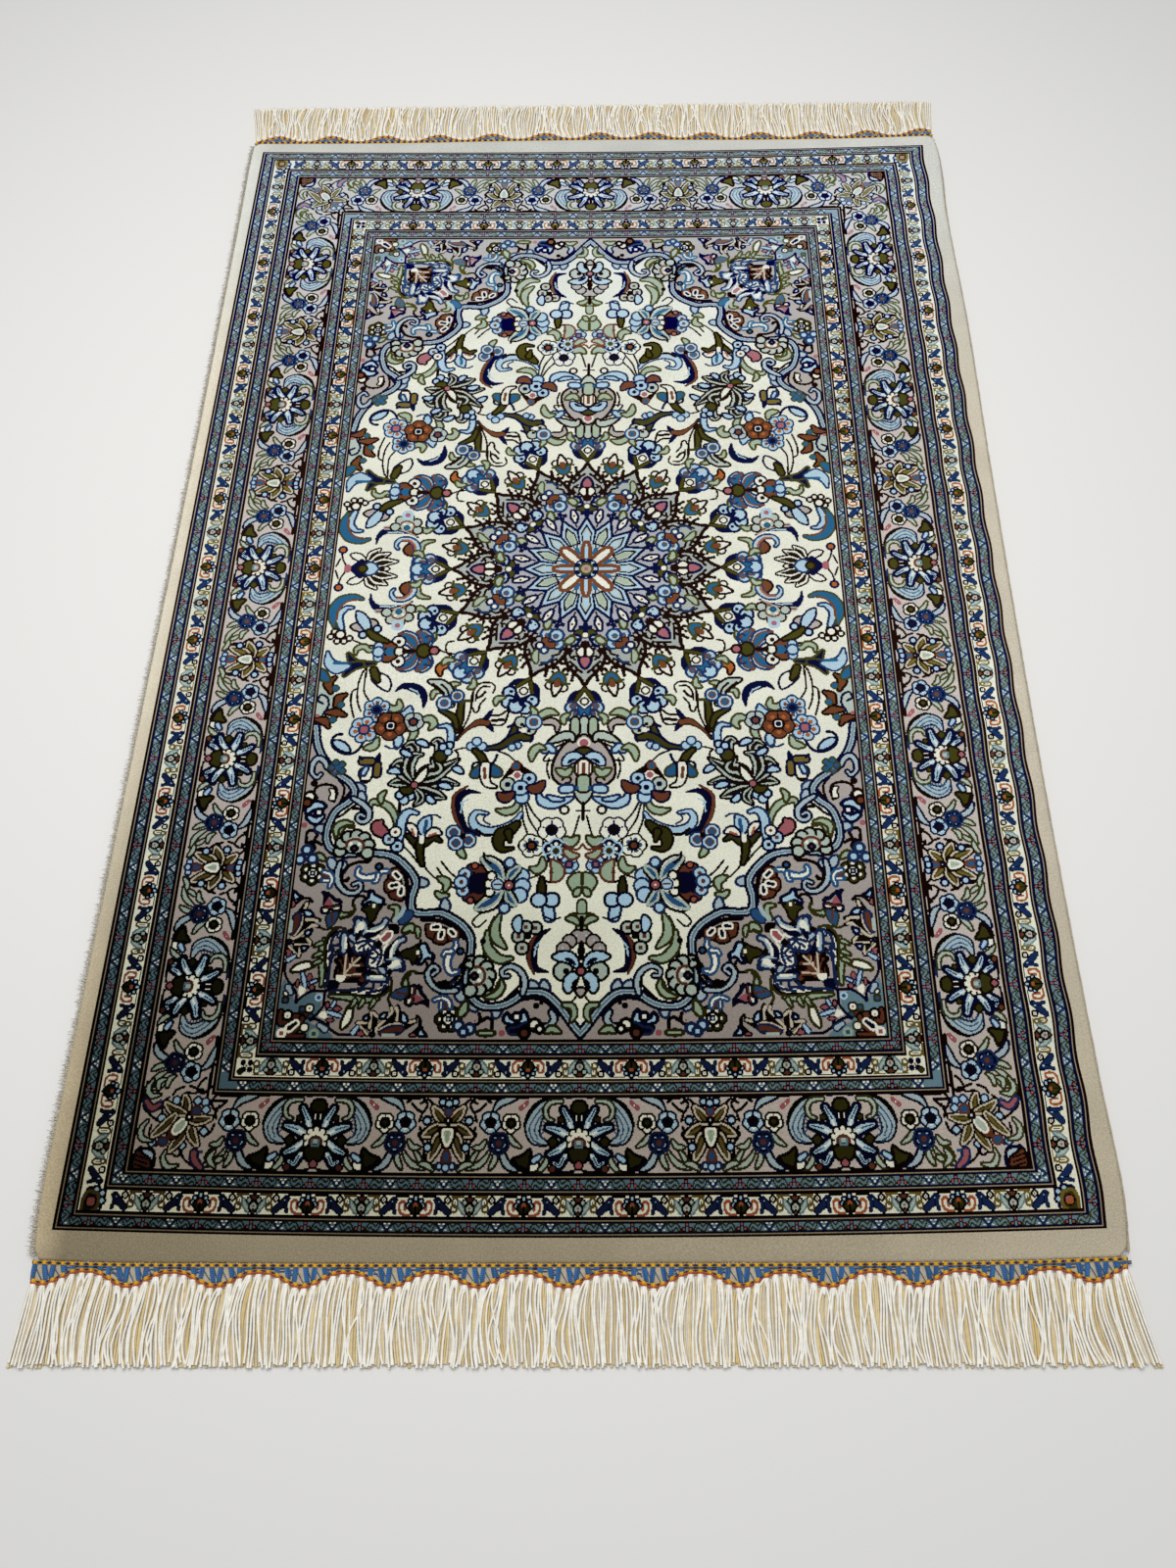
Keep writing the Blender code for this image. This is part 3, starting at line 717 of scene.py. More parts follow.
def axis_pendants(p):
    """The small flowers and the second pendant on the long axis, out to the field's pointed end."""
    leaf(p, ((5, 342), (12, 348), (21, 344)), 8, SAGE, OLIVE)
    rosette(p.at(33, 334), 28, 5, CHALK, NAVY, MOSS)
    rosette(p.at(54, 352), 25, 5, IVORY, BROWN, RUST, TEAL, start=20)
    rosette(p.at(28, 358), 26, 5, NAVY, SKY, OLIVE, None, start=36, tip=CHALK)
    rosette(p.at(14, 373), 18, 5, SKY, STEEL, ROSE)
    p.line(((0, 350), (5, 356), (12, 355), (20, 350)), RUST, 2.2)
    leaf(p, ((5, 363), (12, 363), (19, 357)), 6, SAGE, RUST)
    leaf(p, ((34, 371), (39, 382), (33, 391)), 9, IVORY, BROWN)
    leaf(p, ((31, 370), (25, 381), (30, 391)), 11, SAGE, RUST)
    leaf(p, ((42, 366), (42, 374), (47, 379), (54, 377)), 7, SAGE, OLIVE)
    leaf(p, ((3, 384), (8, 392), (4, 401)), 12, SAGE, OLIVE)
    leaf(p, ((3, 400), (7, 407)), 5, SAGE, OLIVE)
    p.brush(((42, 389), (42, 399), (41, 409)), (2, 7, 5), OLIVE, MOSS)
    p.brush(((35, 420), (33, 430)), (9, 9), SKY, STEEL)
    p.line(((22, 431), (30, 433), (40, 429)), NAVY, 1.8)
    for u in (31, 44.5):
        p.dot(u, 412, 13, SKY, NAVY, 2.2)
    p.brush(((0, 416), (0, 448)), (7, 9), SAGE, OLIVE, 1.8)
    p.line(((-4, 427), (11, 427), (16, 432)), OLIVE, 2)
    leaf(p, ((3, 438), (8, 433), (15, 432)), 5, SAGE, OLIVE)
    p.line(((1, 430), (1, 444)), MOSS, 1.8)
    for u, v in ((4, 451), (12, 456), (18, 464)):
        p.dot(u, v, 12, LILAC, BROWN, 1.9)
        p.dot(u + 1, v - 1, 2.6, SKY)
    p.area(((-4, 466), (0, 455), (4, 466), (0, 476)), MOSS)
    p.dot(18, 487, 17, MINT, BROWN, 2)
    p.dot(15, 487, 6, MOSS)
    leaf(p, ((3, 483), (12, 473), (28, 472)), 10, SKY, MOSS)
    leaf(p, ((5, 481), (11, 476), (17, 474)), 5, NAVY, None)
    leaf(p, ((3, 490), (10, 495), (13, 508)), 11, SKY, MOSS)
    leaf(p, ((2, 494), (6, 500), (8, 508)), 6, MOSS, None)
    p.area(((-6, 505), (6, 505), (0, 514)), LILAC, BROWN)
    p.dot(0, 487, 7, ROSE, BROWN, 2)
    p.line(((4, 512), (10, 519), (16, 520)), BROWN, 1.8)
    p.brush(((16, 521), (8, 523), (6, 531), (9, 537)), (3, 4, 4, 1), SAGE, OLIVE, 1.9)


def vines(p):
    """The brown stems."""
    for spine in (
        ((75, 253), (84, 245), (104, 238), (130, 237), (142, 240)),
        ((128, 150), (125, 168), (128, 195), (134, 212), (142, 228)), ((60, 302), (53, 315), (42, 328)),
        ((62, 304), (57, 322), (47, 338)), ((65, 303), (64, 322), (58, 340)),
        ((31, 371), (37, 379), (46, 385), (57, 389)), ((129, 389), (138, 382), (148, 370)),
        ((131, 395), (142, 390), (152, 377)), ((168, 371), (162, 380), (154, 388)),
        ((172, 372), (182, 360), (193, 350)), ((128, 401), (136, 398), (146, 401)),
        ((248, 138), (249, 156), (248, 168), (241, 180)), ((252, 140), (256, 158), (255, 178), (250, 192)),
        ((257, 163), (262, 168), (262, 182), (257, 200)), ((236, 107), (250, 106), (262, 102), (272, 97)),
        ((222, 101), (236, 100), (244, 95)), ((286, 4), (291, 14), (293, 23)), ((298, 3), (294, 14)),
        ((240, 128), (247, 134), (252, 142)), ((150, 117), (160, 115), (170, 110)),
        ((158, 101), (160, 108), (157, 117), (146, 122)), ((151, 100), (158, 101)),
        ((90, 430), (95, 443), (98, 460), (99, 478)), ((99, 478), (106, 474), (111, 478)),
        ((100, 424), (106, 428), (112, 436), (108, 441)), ((98, 434), (104, 440), (109, 441)),
        ((103, 168), (101, 160), (106, 155), (116, 155), (123, 161), (127, 174), (127, 188)),
        ((107, 160), (115, 160), (121, 168), (122, 178)),
        ((111, 175), (117, 183), (118, 190), (122, 193), (125, 187)), ((268, 172), (274, 169)),
        ((62, 378), (70, 374), (80, 376)),
    ):
        p.line(spine, BROWN, 1.9)
    p.line(((112, 167), (116, 172), (120, 174)), BROWN, 2.6)
    p.line(((197, 303), (197, 318), (198, 334)), BROWN, 2.8)
    p.line(((243, 230), (248, 240), (256, 245), (266, 244), (276, 237), (278, 228), (274, 222), (268, 221)),
        NAVY, 2.7)


def field_leaves(p):
    """The leaves along the stems."""
    for spine, width in (
        (((30, 195), (38, 192), (46, 195), (51, 200)), 9), (((68, 300), (74, 310), (83, 313), (92, 311)), 8),
        (((127, 352), (129, 358), (124, 365)), 7), (((142, 402), (141, 393), (150, 388)), 8),
        (((139, 407), (146, 408), (151, 404)), 6), (((199, 330), (202, 317), (211, 306), (226, 302),
        (229, 311)), 7), (((214, 290), (218, 296), (217, 303)), 6),
        (((245, 331), (254, 329), (260, 338), (259, 350)), 7),
        (((171, 214), (167, 207), (172, 201), (181, 203)), 9),
        (((208, 178), (207, 186), (214, 189), (220, 184)), 8),
        (((193, 229), (188, 220), (190, 213), (199, 214)), 8), (((228, 226), (231, 235), (241, 238)), 9),
        (((147, 163), (151, 158), (142, 156)), 5), (((163, 167), (169, 167), (171, 175)), 5),
        (((199, 8), (199, 24), (196, 37), (184, 41)), 6),
        (((240, 110), (247, 113), (254, 108), (262, 111), (263, 118)), 6),
        (((77, 504), (80, 500), (82, 508), (92, 511), (100, 510)), 8),
        (((84, 428), (88, 440), (87, 452), (77, 463)), 10),
        (((96, 446), (95, 462), (84, 474), (70, 474)), 10), (((93, 35), (88, 24), (96, 20)), 6),
    ):
        leaf(p, spine, 0.78 * width, SAGE, OLIVE)
    for spine, width in (
        (((195, 187), (198, 196), (207, 199)), 10), (((206, 237), (205, 227), (211, 219)), 8),
        (((177, 315), (187, 314), (193, 324), (193, 349)), 8),
        (((272, 55), (280, 56), (287, 68), (280, 90)), 6),
    ):
        leaf(p, spine, width, SKY, STEEL)
    for spine, width, fill in (
        (((30, 216), (30, 208), (37, 204), (48, 206)), 6, LILAC),
        (((148, 184), (152, 169), (161, 158), (176, 153)), 11, MINT),
        (((209, 21), (213, 27), (210, 35)), 10, RUST), (((206, 341), (213, 337), (219, 331), (215, 325)), 12,
        ROSE), (((255, 89), (262, 82), (271, 81)), 9, LILAC), (((252, 72), (246, 78), (250, 86)), 9, LILAC),
        (((232, 262), (236, 270), (237, 278)), 10, CHALK),
        (((146, 132), (158, 131), (165, 136), (164, 145)), 8, TAN),
    ):
        leaf(p, spine, width, fill, BROWN)
    for spine, width in (
        (((151, 176), (155, 164), (162, 157)), 3), (((158, 168), (165, 161), (171, 156)), 1.6),
    ):
        p.line(spine, BROWN, width)


def large_leaves(p):
    """The curled and the sickle leaves."""
    p.brush(((147, 229), (147, 217), (152, 210), (161, 211)), (5, 6, 4, 1), SKY, STEEL)
    leaf(p, ((258, 242), (266, 236), (276, 230)), 8, SKY, NAVY)
    leaf(p, ((251, 87), (256, 76), (266, 61)), 11, SKY, NAVY, edge=2)
    leaf(p, ((222, 164), (228, 154), (240, 146)), 14, CHALK, NAVY, edge=2)
    p.brush(((240, 139), (237, 147), (234, 153)), (6, 7, 2), OLIVE, MOSS)
    p.brush(((262, 43), (272, 40), (285, 44), (293, 54), (295, 67), (291, 82)), (2, 6, 9, 9, 7, 1), TEAL,
        OLIVE, 1.9)
    p.line(((268, 44), (280, 47), (288, 58), (290, 74)), RUST, 2)
    p.brush(((66, 315), (73, 325), (86, 332), (100, 335), (113, 331), (118, 322), (114, 314), (102, 315)),
            (2, 5, 5, 6, 7, 7, 4, 1), SKY, STEEL, 1.8)
    p.line(((99, 328), (106, 323), (104, 317)), STEEL, 1.8)
    p.line(((92, 339), (104, 340), (113, 334)), BROWN, 3.6)
    p.brush(((70, 327), (77, 334), (87, 340), (89, 350), (84, 356), (74, 355)), (5, 9, 12, 9, 4, 1), OLIVE,
        MOSS)
    p.brush(((79, 337), (77, 347)), (6, 1), OLIVE, MOSS)
    p.brush(((205, 8), (203, 24), (205, 36), (214, 43), (225, 42), (229, 34), (226, 29)),
        (3, 4, 6, 5, 4, 3, 1), SKY, STEEL, 1.9)
    p.line(((204, 18), (206, 33), (213, 41), (222, 42)), TAN, 2.2)
    crescent(p, ((111, 291), (125, 290), (135, 299), (134, 315), (125, 333), (109, 341)), 9, True)
    crescent(p, ((32, 443), (43, 450), (49, 461), (50, 473), (46, 484), (33, 488)), 9, True)
    crescent(p, ((180, 187), (180, 174), (187, 164), (198, 160), (206, 160), (213, 166)), 9, False)
    crescent(p, ((203, 46), (214, 54), (228, 56), (243, 55), (251, 47), (253, 36)), 8, False)
    p.brush(((206, 49), (218, 57), (230, 60), (244, 60)), (1.5, 3.4, 4, 2), RUST, LILAC, 1.2)


def shoulder_spray(p):
    """The spray over the vase's shoulder."""
    p.brush(((76, 210), (78, 217), (82, 227)), (4, 5, 5), OLIVE, NAVY, 2.3)
    p.brush(((61, 224), (72, 223), (82, 228), (92, 235), (108, 238)), (7, 7, 6, 4, 1.5), OLIVE, NAVY, 2.3)
    p.line(((75, 207), (80, 209), (84, 211)), NAVY, 2.6)
    p.line(((57, 222), (59, 230)), NAVY, 2.2)
    for u, v, eye in ((70, 205, (69, 208)), (60, 214, (61, 216))):
        p.dot(u, v, 12, MINT, BROWN, 2)
        p.dot(*eye, 4.6, BROWN)
    eyed(p, 56, 205, 16)
    p.dot(67, 215, 6, CHALK)
    for u, v in ((73, 234), (79, 236)):
        p.dot(u, v, 6.4, SKY, STEEL, 1.8)


def white_lily(p):
    """The white lily, the fan and the olive tulip on the vine."""
    p.area(((85, 190), (94, 196), (104, 197), (110, 205), (97, 209), (89, 207), (86, 199)), CHALK, BROWN, 2)
    p.line(((90, 202), (102, 203)), BROWN, 4)
    p.area(((101, 188), (108, 193), (114, 203), (107, 203)), NAVY)
    p.area(((100, 218), (102, 208), (109, 206), (111, 209)), NAVY)
    p.brush(((108, 206), (116, 205), (122, 208), (132, 216), (140, 227)), (6, 6, 2.4, 1, 0.6), RUST, BROWN,
        1.2)
    for u, v in ((112, 235), (124, 235), (118, 229)):
        p.dot(u, v, 8, SKY, STEEL, 1.9)
    p.dot(118, 235, 4.6, TEAL)
    p.brush(((120, 240), (112, 248), (107, 259)), (3, 6, 6), OLIVE, MOSS)
    leaf(p, ((105, 258), (99, 264), (90, 269)), 11, TEAL, OLIVE)
    leaf(p, ((110, 258), (114, 265), (121, 271)), 10, TEAL, OLIVE)
    p.brush(((107, 259), (107, 270), (104, 280), (95, 284)), (9, 9, 6, 1), CHALK, BROWN, 2)
    p.line(((108, 262), (107, 273)), RUST, 3.8)
    p.line(((101, 258), (97, 252), (95, 246)), NAVY, 2.6)
    p.line(((113, 254), (120, 256), (122, 262)), NAVY, 2.4)


def capped_palmette(p):
    """The palmette with a dark cap."""
    eyed(p, 59, 274, 13, NAVY, None)
    eyed(p, 82, 281, 14, NAVY, None, MINT, BROWN)
    p.dot(66, 296, 13, SKY, STEEL, 1.9)
    eyed(p, 68, 285, 15, NAVY, None)
    leaf(p, ((43, 278), (50, 286), (60, 285)), 10, RUST, NAVY, edge=2)
    leaf(p, ((75, 291), (84, 297), (92, 292)), 9, RUST, NAVY, edge=2)
    p.area(((73, 252), (80, 260), (90, 278), (76, 268), (54, 268), (64, 260)), BROWN)
    p.dot(74, 259, 7, TEAL, RUST, 1.4)
    p.dot(72, 270, 7.4, ROSE, CHALK, 1.2)


def sickle_blossoms(p):
    """The blossom on the blue sickle and the two buds on the olive fork."""
    for u, v in ((137, 337), (121, 346), (134, 349)):
        eyed(p, u, v, 14)
    p.dot(127, 341, 6, BROWN)
    p.brush(((138, 182), (139, 204), (141, 216)), (4, 6, 2), OLIVE, MOSS)
    p.brush(((141, 212), (146, 199), (161, 190)), (3, 5, 1), OLIVE, MOSS)
    p.line(((129, 178), (136, 179), (138, 188)), OLIVE, 2.8)
    eyed(p, 143, 172, 13)
    eyed(p, 157, 181, 15)


def white_petals(p):
    """The large flower with white petals, pointing to the rug's side."""
    q = p.at(76, 396, 94)
    for u, v in ((11, -12), (0, -14), (-10, -12)):
        q.dot(u, v, 14, SKY, STEEL, 2)
    for r in q.sides():
        for spine, width in ((((6, 2), (14, -2), (20, -8)), 10), (((8, 8), (18, 16), (27, 30)), 15)):
            leaf(r, spine, width, CHALK, BROWN, edge=2.4)
            leaf(r, spine, width * 0.42, TEAL, MINT)
        r.brush(((8, 26), (15, 34), (16, 42)), (5, 9, 6), RUST, BROWN)
        r.dot(19, 38, 5, TAN, NAVY, 1.8)
        eyed(r, 9, 47, 11, RUST, None)
        r.dot(25, 2, 8, SKY, STEEL)
    q.area(((-12, 27), (0, 22), (12, 27), (7, 42), (-7, 42)), NAVY)
    eyed(q, 0, 50, 12, RUST, None)
    for x in (-9, 0, 9):
        q.dot(x, 21 - abs(x) * 0.2, 7, CHALK, MOSS)
    q.dot(0, 12, 15, CHALK)
    q.dot(0, 12, 10, SKY, STEEL, 1.6)
    q.line(((0, 8), (0, 15)), RUST, 1.6)
    q.dot(0, -5, 5, NAVY)
    q.dot(0, 0, 8, ROSE, BROWN, 2)
    q.dot(0, 0, 3, CHALK)
    p.line(((96, 372), (103, 366), (104, 360)), BROWN, 2.4)


def blue_tulip(p):
    """The blue tulip and the small cluster beyond it."""
    p.brush(((172, 354), (166, 347), (158, 343), (150, 347)), (5, 8, 5, 1), OLIVE, MOSS)
    p.brush(((173, 354), (179, 345), (187, 340)), (5, 8, 1), OLIVE, MOSS)
    p.brush(((172, 350), (171, 362), (168, 373)), (6, 5, 2), OLIVE, MOSS)
    p.area(((163, 318), (173, 322), (176, 332), (170, 341), (163, 338), (161, 328)), SKY, STEEL, 2)
    p.line(((167, 324), (168, 337)), TEAL, 4)
    p.line(((152, 320), (158, 317), (167, 318)), STEEL, 2)
    leaf(p, ((151, 338), (158, 336), (166, 342)), 7, CHALK, NAVY, edge=2)
    leaf(p, ((177, 342), (180, 334), (187, 328)), 7, CHALK, NAVY, edge=2)
    p.line(((156, 338), (163, 341)), TAN, 2)
    p.line(((179, 340), (182, 333)), TAN, 2)
    leaf(p, ((170, 340), (171, 350)), 6, CHALK, None)
    eyed(p, 196, 353, 11, BROWN, None, SKY, NAVY)
    eyed(p, 205, 345, 11, RUST, None, SKY, NAVY)
    eyed(p, 199, 337, 10, RUST, None, CHALK, NAVY)


def rosettes(p):
    """The cluster of rosettes."""
    rosette(p.at(232, 190), 29, 6, SKY, STEEL, NAVY, RUST)
    rosette(p.at(244, 215), 31, 6, SKY, STEEL, ROSE, TAN, start=15)
    rosette(p.at(190, 205), 22, 5, MINT, NAVY, RUST)
    rosette(p.at(215, 210), 34, 5, RUST, BROWN, NAVY, None, tip=TAN)
    p.dot(215, 210, 9, CHALK)
    p.dot(215, 210, 6, NAVY)
    p.line(((206, 236), (212, 238), (219, 235)), STEEL, 2)


def navy_tulip(p):
    """The navy tulip and its two khaki buds."""
    p.area(((224, 243), (231, 254), (224, 257), (222, 250)), NAVY)
    p.brush(((225, 258), (225, 269)), (5, 6), KHAKI, NAVY, 2.2)
    p.brush(((232, 254), (242, 254)), (6, 6), KHAKI, NAVY, 2.2)
    p.line(((242, 252), (246, 248)), NAVY, 3)
    p.line(((242, 262), (245, 268), (241, 277), (233, 277)), BROWN, 2)
    p.brush(((237, 262), (240, 269)), (3, 3), SKY, STEEL)


def blue_palmette_aside(p):
    """The light blue palmette, pointing to the rug's side."""
    q = p.at(183, 113, 88)
    for r in q.sides():
        for spine in (((2, 2), (16, 0), (25, 8)), ((3, 10), (16, 18), (22, 30))):
            leaf(r, spine, 15, SKY, STEEL, edge=2.2)
            leaf(r, spine, 7.5, TEAL, RUST, edge=1.8)
        r.line(((10, -3), (16, -8), (20, -4), (18, 0)), STEEL, 2.2)
        eyed(r, 13, 31, 13, BROWN, None, CHALK, NAVY)
        r.brush(((6, 36), (9, 44), (6, 51)), (4, 8, 4), RUST, BROWN)
        r.dot(8, 54, 8, SKY, STEEL, 1.8)
    q.dot(0, 54, 11, SKY, STEEL, 1.8)
    q.dot(0, 40, 12, TEAL)
    q.dot(0, 30, 9, CHALK, MOSS)
    q.brush(((0, 8), (0, 24)), (3, 7), BROWN)
    q.area(((-9, 0), (0, -7), (9, 0), (5, 9), (-5, 9)), OLIVE, MOSS)
    q.dot(0, -10, 8, ROSE, BROWN)


def small_flowers(p):
    """The small flowers by the sickle leaves."""
    scalloped(p.at(218, 60, -10), 14, 5, 190)
    p.dot(218, 60, 7, TEAL)
    p.dot(218, 79, 7, ROSE, SKY, 3)
    for u, v in ((241, 84), (257, 92)):
        p.dot(u, v, 7, SKY, NAVY, 2)
    p.brush(((250, 88), (242, 95), (228, 101)), (5, 7, 2), OLIVE, MOSS)
    for u, v in ((290, 88), (294, 95), (286, 101), (278, 101), (272, 97)):
        p.dot(u, v, 4.6, IVORY, BROWN, 2)
    p.dot(283, 92, 8, CHALK, BROWN, 2.6)
    p.dot(292, 27, 6.4, TAN, NAVY, 2)
    for u, v in ((47, 442), (57, 441), (64, 451), (60, 463)):
        eyed(p, u, v, 11, RUST, None, MINT, BROWN)
    p.dot(54, 451, 7, MOSS)
    leaf(p, ((64, 446), (66, 438), (64, 430)), 8, SKY, NAVY, edge=2)
    p.dot(100, 456, 7, BROWN)


def side_palmette(p):
    """The palmette on the cross axis and the big forked leaf beside it."""
    for turn, tall in ((-32, 29), (-128, 29), (-56, 33), (-104, 32), (-80, 38)):
        q = p.at(263, 4, turn)
        q.brush(((0, 6), (1.5, 0.6 * tall), (0, tall)), (6, 11, 1), CHALK, BROWN, 1.8)
        q.brush(((0, 8), (1, 0.6 * tall), (0, 0.86 * tall)), (4, 7, 1.5), MOSS)
    leaf(p, ((264, 11), (271, 16), (281, 20)), 8, CHALK, BROWN, edge=1.8)
    p.area(((246, -6), (262, -8), (266, 0), (260, 9), (250, 6)), SKY, STEEL, 2)
    p.brush(((268, 10), (277, 1)), (8, 8), NAVY)
    p.dot(266, 0, 8, OLIVE, MOSS)
    p.dot(284, 2, 8, ROSE)
    p.brush(((240, 130), (254, 131), (264, 129), (271, 118)), (1.5, 6, 8, 1.5), NAVY, OLIVE)
    p.brush(((256, 132), (266, 135), (273, 146)), (6, 9, 1.5), NAVY, OLIVE)
    p.brush(((270, 134), (283, 136), (292, 129), (295, 116)), (4, 14, 9, 1), SKY, STEEL, 1.9)
    p.line(((272, 130), (286, 130)), TEAL, 4)


def olive_lily(p):
    """The large dark lily, its heart at the lower right."""
    for spine, width in (
        (((182, 282), (166, 281), (150, 278), (136, 281)), 9), (((180, 285), (166, 291), (149, 297)), 10),
        (((182, 286), (175, 297), (181, 306)), 7), (((180, 279), (162, 272), (150, 261), (137, 251)), 10),
        (((186, 283), (198, 279), (210, 281)), 9), (((188, 279), (197, 267), (200, 256), (210, 260)), 11),
        (((160, 250), (158, 238), (161, 229), (168, 232)), 9),
        (((190, 250), (185, 240), (190, 233), (198, 237)), 9),
        (((185, 277), (191, 262), (187, 248), (177, 245)), 11),
        (((182, 277), (171, 266), (160, 262), (166, 250)), 12),
    ):
        p.brush(spine, (2, width, width, 1), MINT, BROWN, 2.1)
        p.brush(spine, (1, width * 0.5, width * 0.5, 0.5), MOSS)
    leaf(p, ((171, 262), (176, 272), (183, 280)), 7, CHALK, MOSS)
    p.line(((178, 262), (182, 274)), BROWN, 1.8)
    p.dot(157, 247, 12, OLIVE, MOSS, 2.4)
    for spine in (
        ((172, 235), (178, 231), (184, 230)), ((189, 247), (195, 244), (200, 241)),
        ((200, 268), (205, 265), (212, 266)), ((132, 267), (137, 263), (142, 262)),
        ((143, 285), (149, 283), (156, 282)), ((160, 302), (165, 299), (167, 295)),
    ):
        leaf(p, spine, 5.4, SKY, NAVY)
    for u, v, width in (
        (148, 234, 7), (155, 236, 7), (149, 242, 6), (187, 295, 8), (193, 300, 8), (198, 294, 7),
    ):
        p.dot(u, v, width, SKY, NAVY, 2)
    leaf(p, ((184, 284), (190, 289), (197, 287)), 7, OLIVE, MOSS)
    p.line(((142, 240), (138, 244), (139, 250), (147, 253)), BROWN, 2)
    p.dot(183, 282, 6, ROSE, BROWN, 1.6)


BAND = ((-6, 556), (4, 545), (13, 533), (23, 520), (35, 510), (47, 508), (58, 510), (66, 516), (76, 521),
    (88, 523), (100, 521), (109, 513), (114, 500), (114, 484), (112, 466), (113, 452), (120, 441),
    (132, 432), (146, 426), (162, 427), (174, 424), (176, 410), (173, 394), (178, 383), (188, 372),
    (200, 364), (216, 361), (236, 361), (254, 362), (267, 355), (272, 342), (270, 326), (264, 312),
    (252, 302), (247, 291), (253, 280), (264, 272), (275, 264), (281, 256), (288, 246), (294, 232),
    (298, 212))
FOLD = 253.5  # the corner piece mirrors (u, v) to (v - FOLD, u + FOLD)


def corner_flowers(q):
    """The flowers between the corner piece and the band."""
    q.area(((189, 380), (194, 377), (199, 378), (202, 382), (203, 389), (206, 394), (205, 402), (201, 406),
        (198, 411), (191, 413), (185, 413), (185, 408), (190, 404), (187, 398), (189, 391), (191, 386)),
        RUST, BROWN, 1.4)
    q.line(((203, 389), (196, 391)), BROWN, 1.2)
    q.line(((202, 405), (194, 402)), BROWN, 1.2)
    for spine in (((192, 387), (195, 384)), ((193, 396), (198, 397)), ((187.5, 400), (188, 405))):
        q.brush(spine, (3.6, 3.6), NAVY, CHALK, 1.2)
    q.brush(((203, 381), (209, 381), (214, 385), (221, 388), (229, 388), (235, 384), (234, 378)),
        (1, 3, 4, 3.4, 1.4), CHALK, TEAL, 1.7)
    q.brush(((213, 385), (214, 391), (217, 393)), (2.4, 2, 1), CHALK, TEAL, 1.6)
    q.dot(213, 376, 4, TEAL, BROWN, 1.7)
    q.line(((222, 366), (225, 371), (234, 371), (244, 375), (250, 382), (251, 390), (249, 396), (244, 401)),
        BROWN, 2.2)
    q.brush(((244, 389), (246, 392), (250, 391)), (4, 5, 2), BROWN)
    q.area(((206, 417), (205, 412), (210, 409), (214, 407), (217, 403), (221, 403), (221, 410), (226, 414),
        (226, 419), (219, 415), (210, 418)), SKY, NAVY, 2)
    q.line(((219, 404), (226, 403.5)), NAVY, 2)
    q.area(((206, 419), (213, 420), (220, 419), (227, 423), (222, 427), (220, 434), (216, 437), (212, 433),
        (210, 426)), OLIVE, MOSS, 1.4)
    q.dot(214.5, 419, 3.8, CHALK, OLIVE, 1.4)
    q.line(((202, 417), (207, 418)), MOSS, 1.8)
    q.line(((223, 411), (227, 408.5), (232, 409), (236, 413), (236, 419)), BROWN, 1.9)
    q.line(((235, 419), (234, 424), (238, 430), (247, 433)), OLIVE, 1.9)
    q.area(((237, 425), (241, 427), (249, 426), (249, 432), (241, 430)), SAGE, OLIVE, 1.6)
    q.area(((247, 417), (249, 412), (254, 411), (259, 407), (263, 404), (271, 404), (268, 410), (268, 419),
        (264, 418), (262, 410), (256, 415)), NAVY)
    q.area(((257, 420), (262, 411), (266, 421)), ROSE)
    q.area(((249, 419), (257, 420), (257, 424), (250, 424)), CHALK, NAVY, 2)
    q.area(((260, 421), (268, 422), (267, 427), (262, 427)), CHALK, NAVY, 2)
    q.line(((251, 420), (265, 422)), RUST, 1.2)
    q.area(((250, 427), (257, 426), (263, 431), (262, 438), (259, 443), (253, 438)), TEAL, OLIVE, 1)
    q.line(((257, 427), (256, 437)), RUST, 1.5)
    q.line(((241, 444), (248, 442.5), (256, 443.5), (262, 445), (267, 443)), OLIVE, 1.7)
    leaf(q, ((198, 420), (191, 421), (190, 428), (194, 434)), 4, SAGE, OLIVE, edge=1.6)
    olive_rosette(q.at(282, 384))
    q.brush(((270, 383), (264, 385), (261, 391), (263, 399)), (1.6, 2.4, 2, 1), CHALK, TEAL, 1.7)
    q.brush(((265, 392), (271, 392)), (1.6, 1), CHALK, TEAL, 1.5)
    q.line(((266, 389), (272, 386)), RUST, 1.5)
    leaf(q, ((270, 482), (280, 483.5), (291, 488)), 6, CHALK, OLIVE, edge=1.8)
    for u, v, width, height in ((272.5, 495, 6, 9), (284, 501, 4.4, 9), (269, 505, 7.5, 5)):
        q.lozenge(u, v, width, height, ROSE, BROWN, 0.8)
    q.brush(((280, 491), (278, 497), (276, 504)), (2, 3.4, 2), SKY, STEEL, 1.1)
    q.brush(((266, 498), (270, 500)), (2, 2), SKY, STEEL, 1.1)
    q.area(((275, 507), (281, 504), (282, 509), (279, 514)), CHALK)


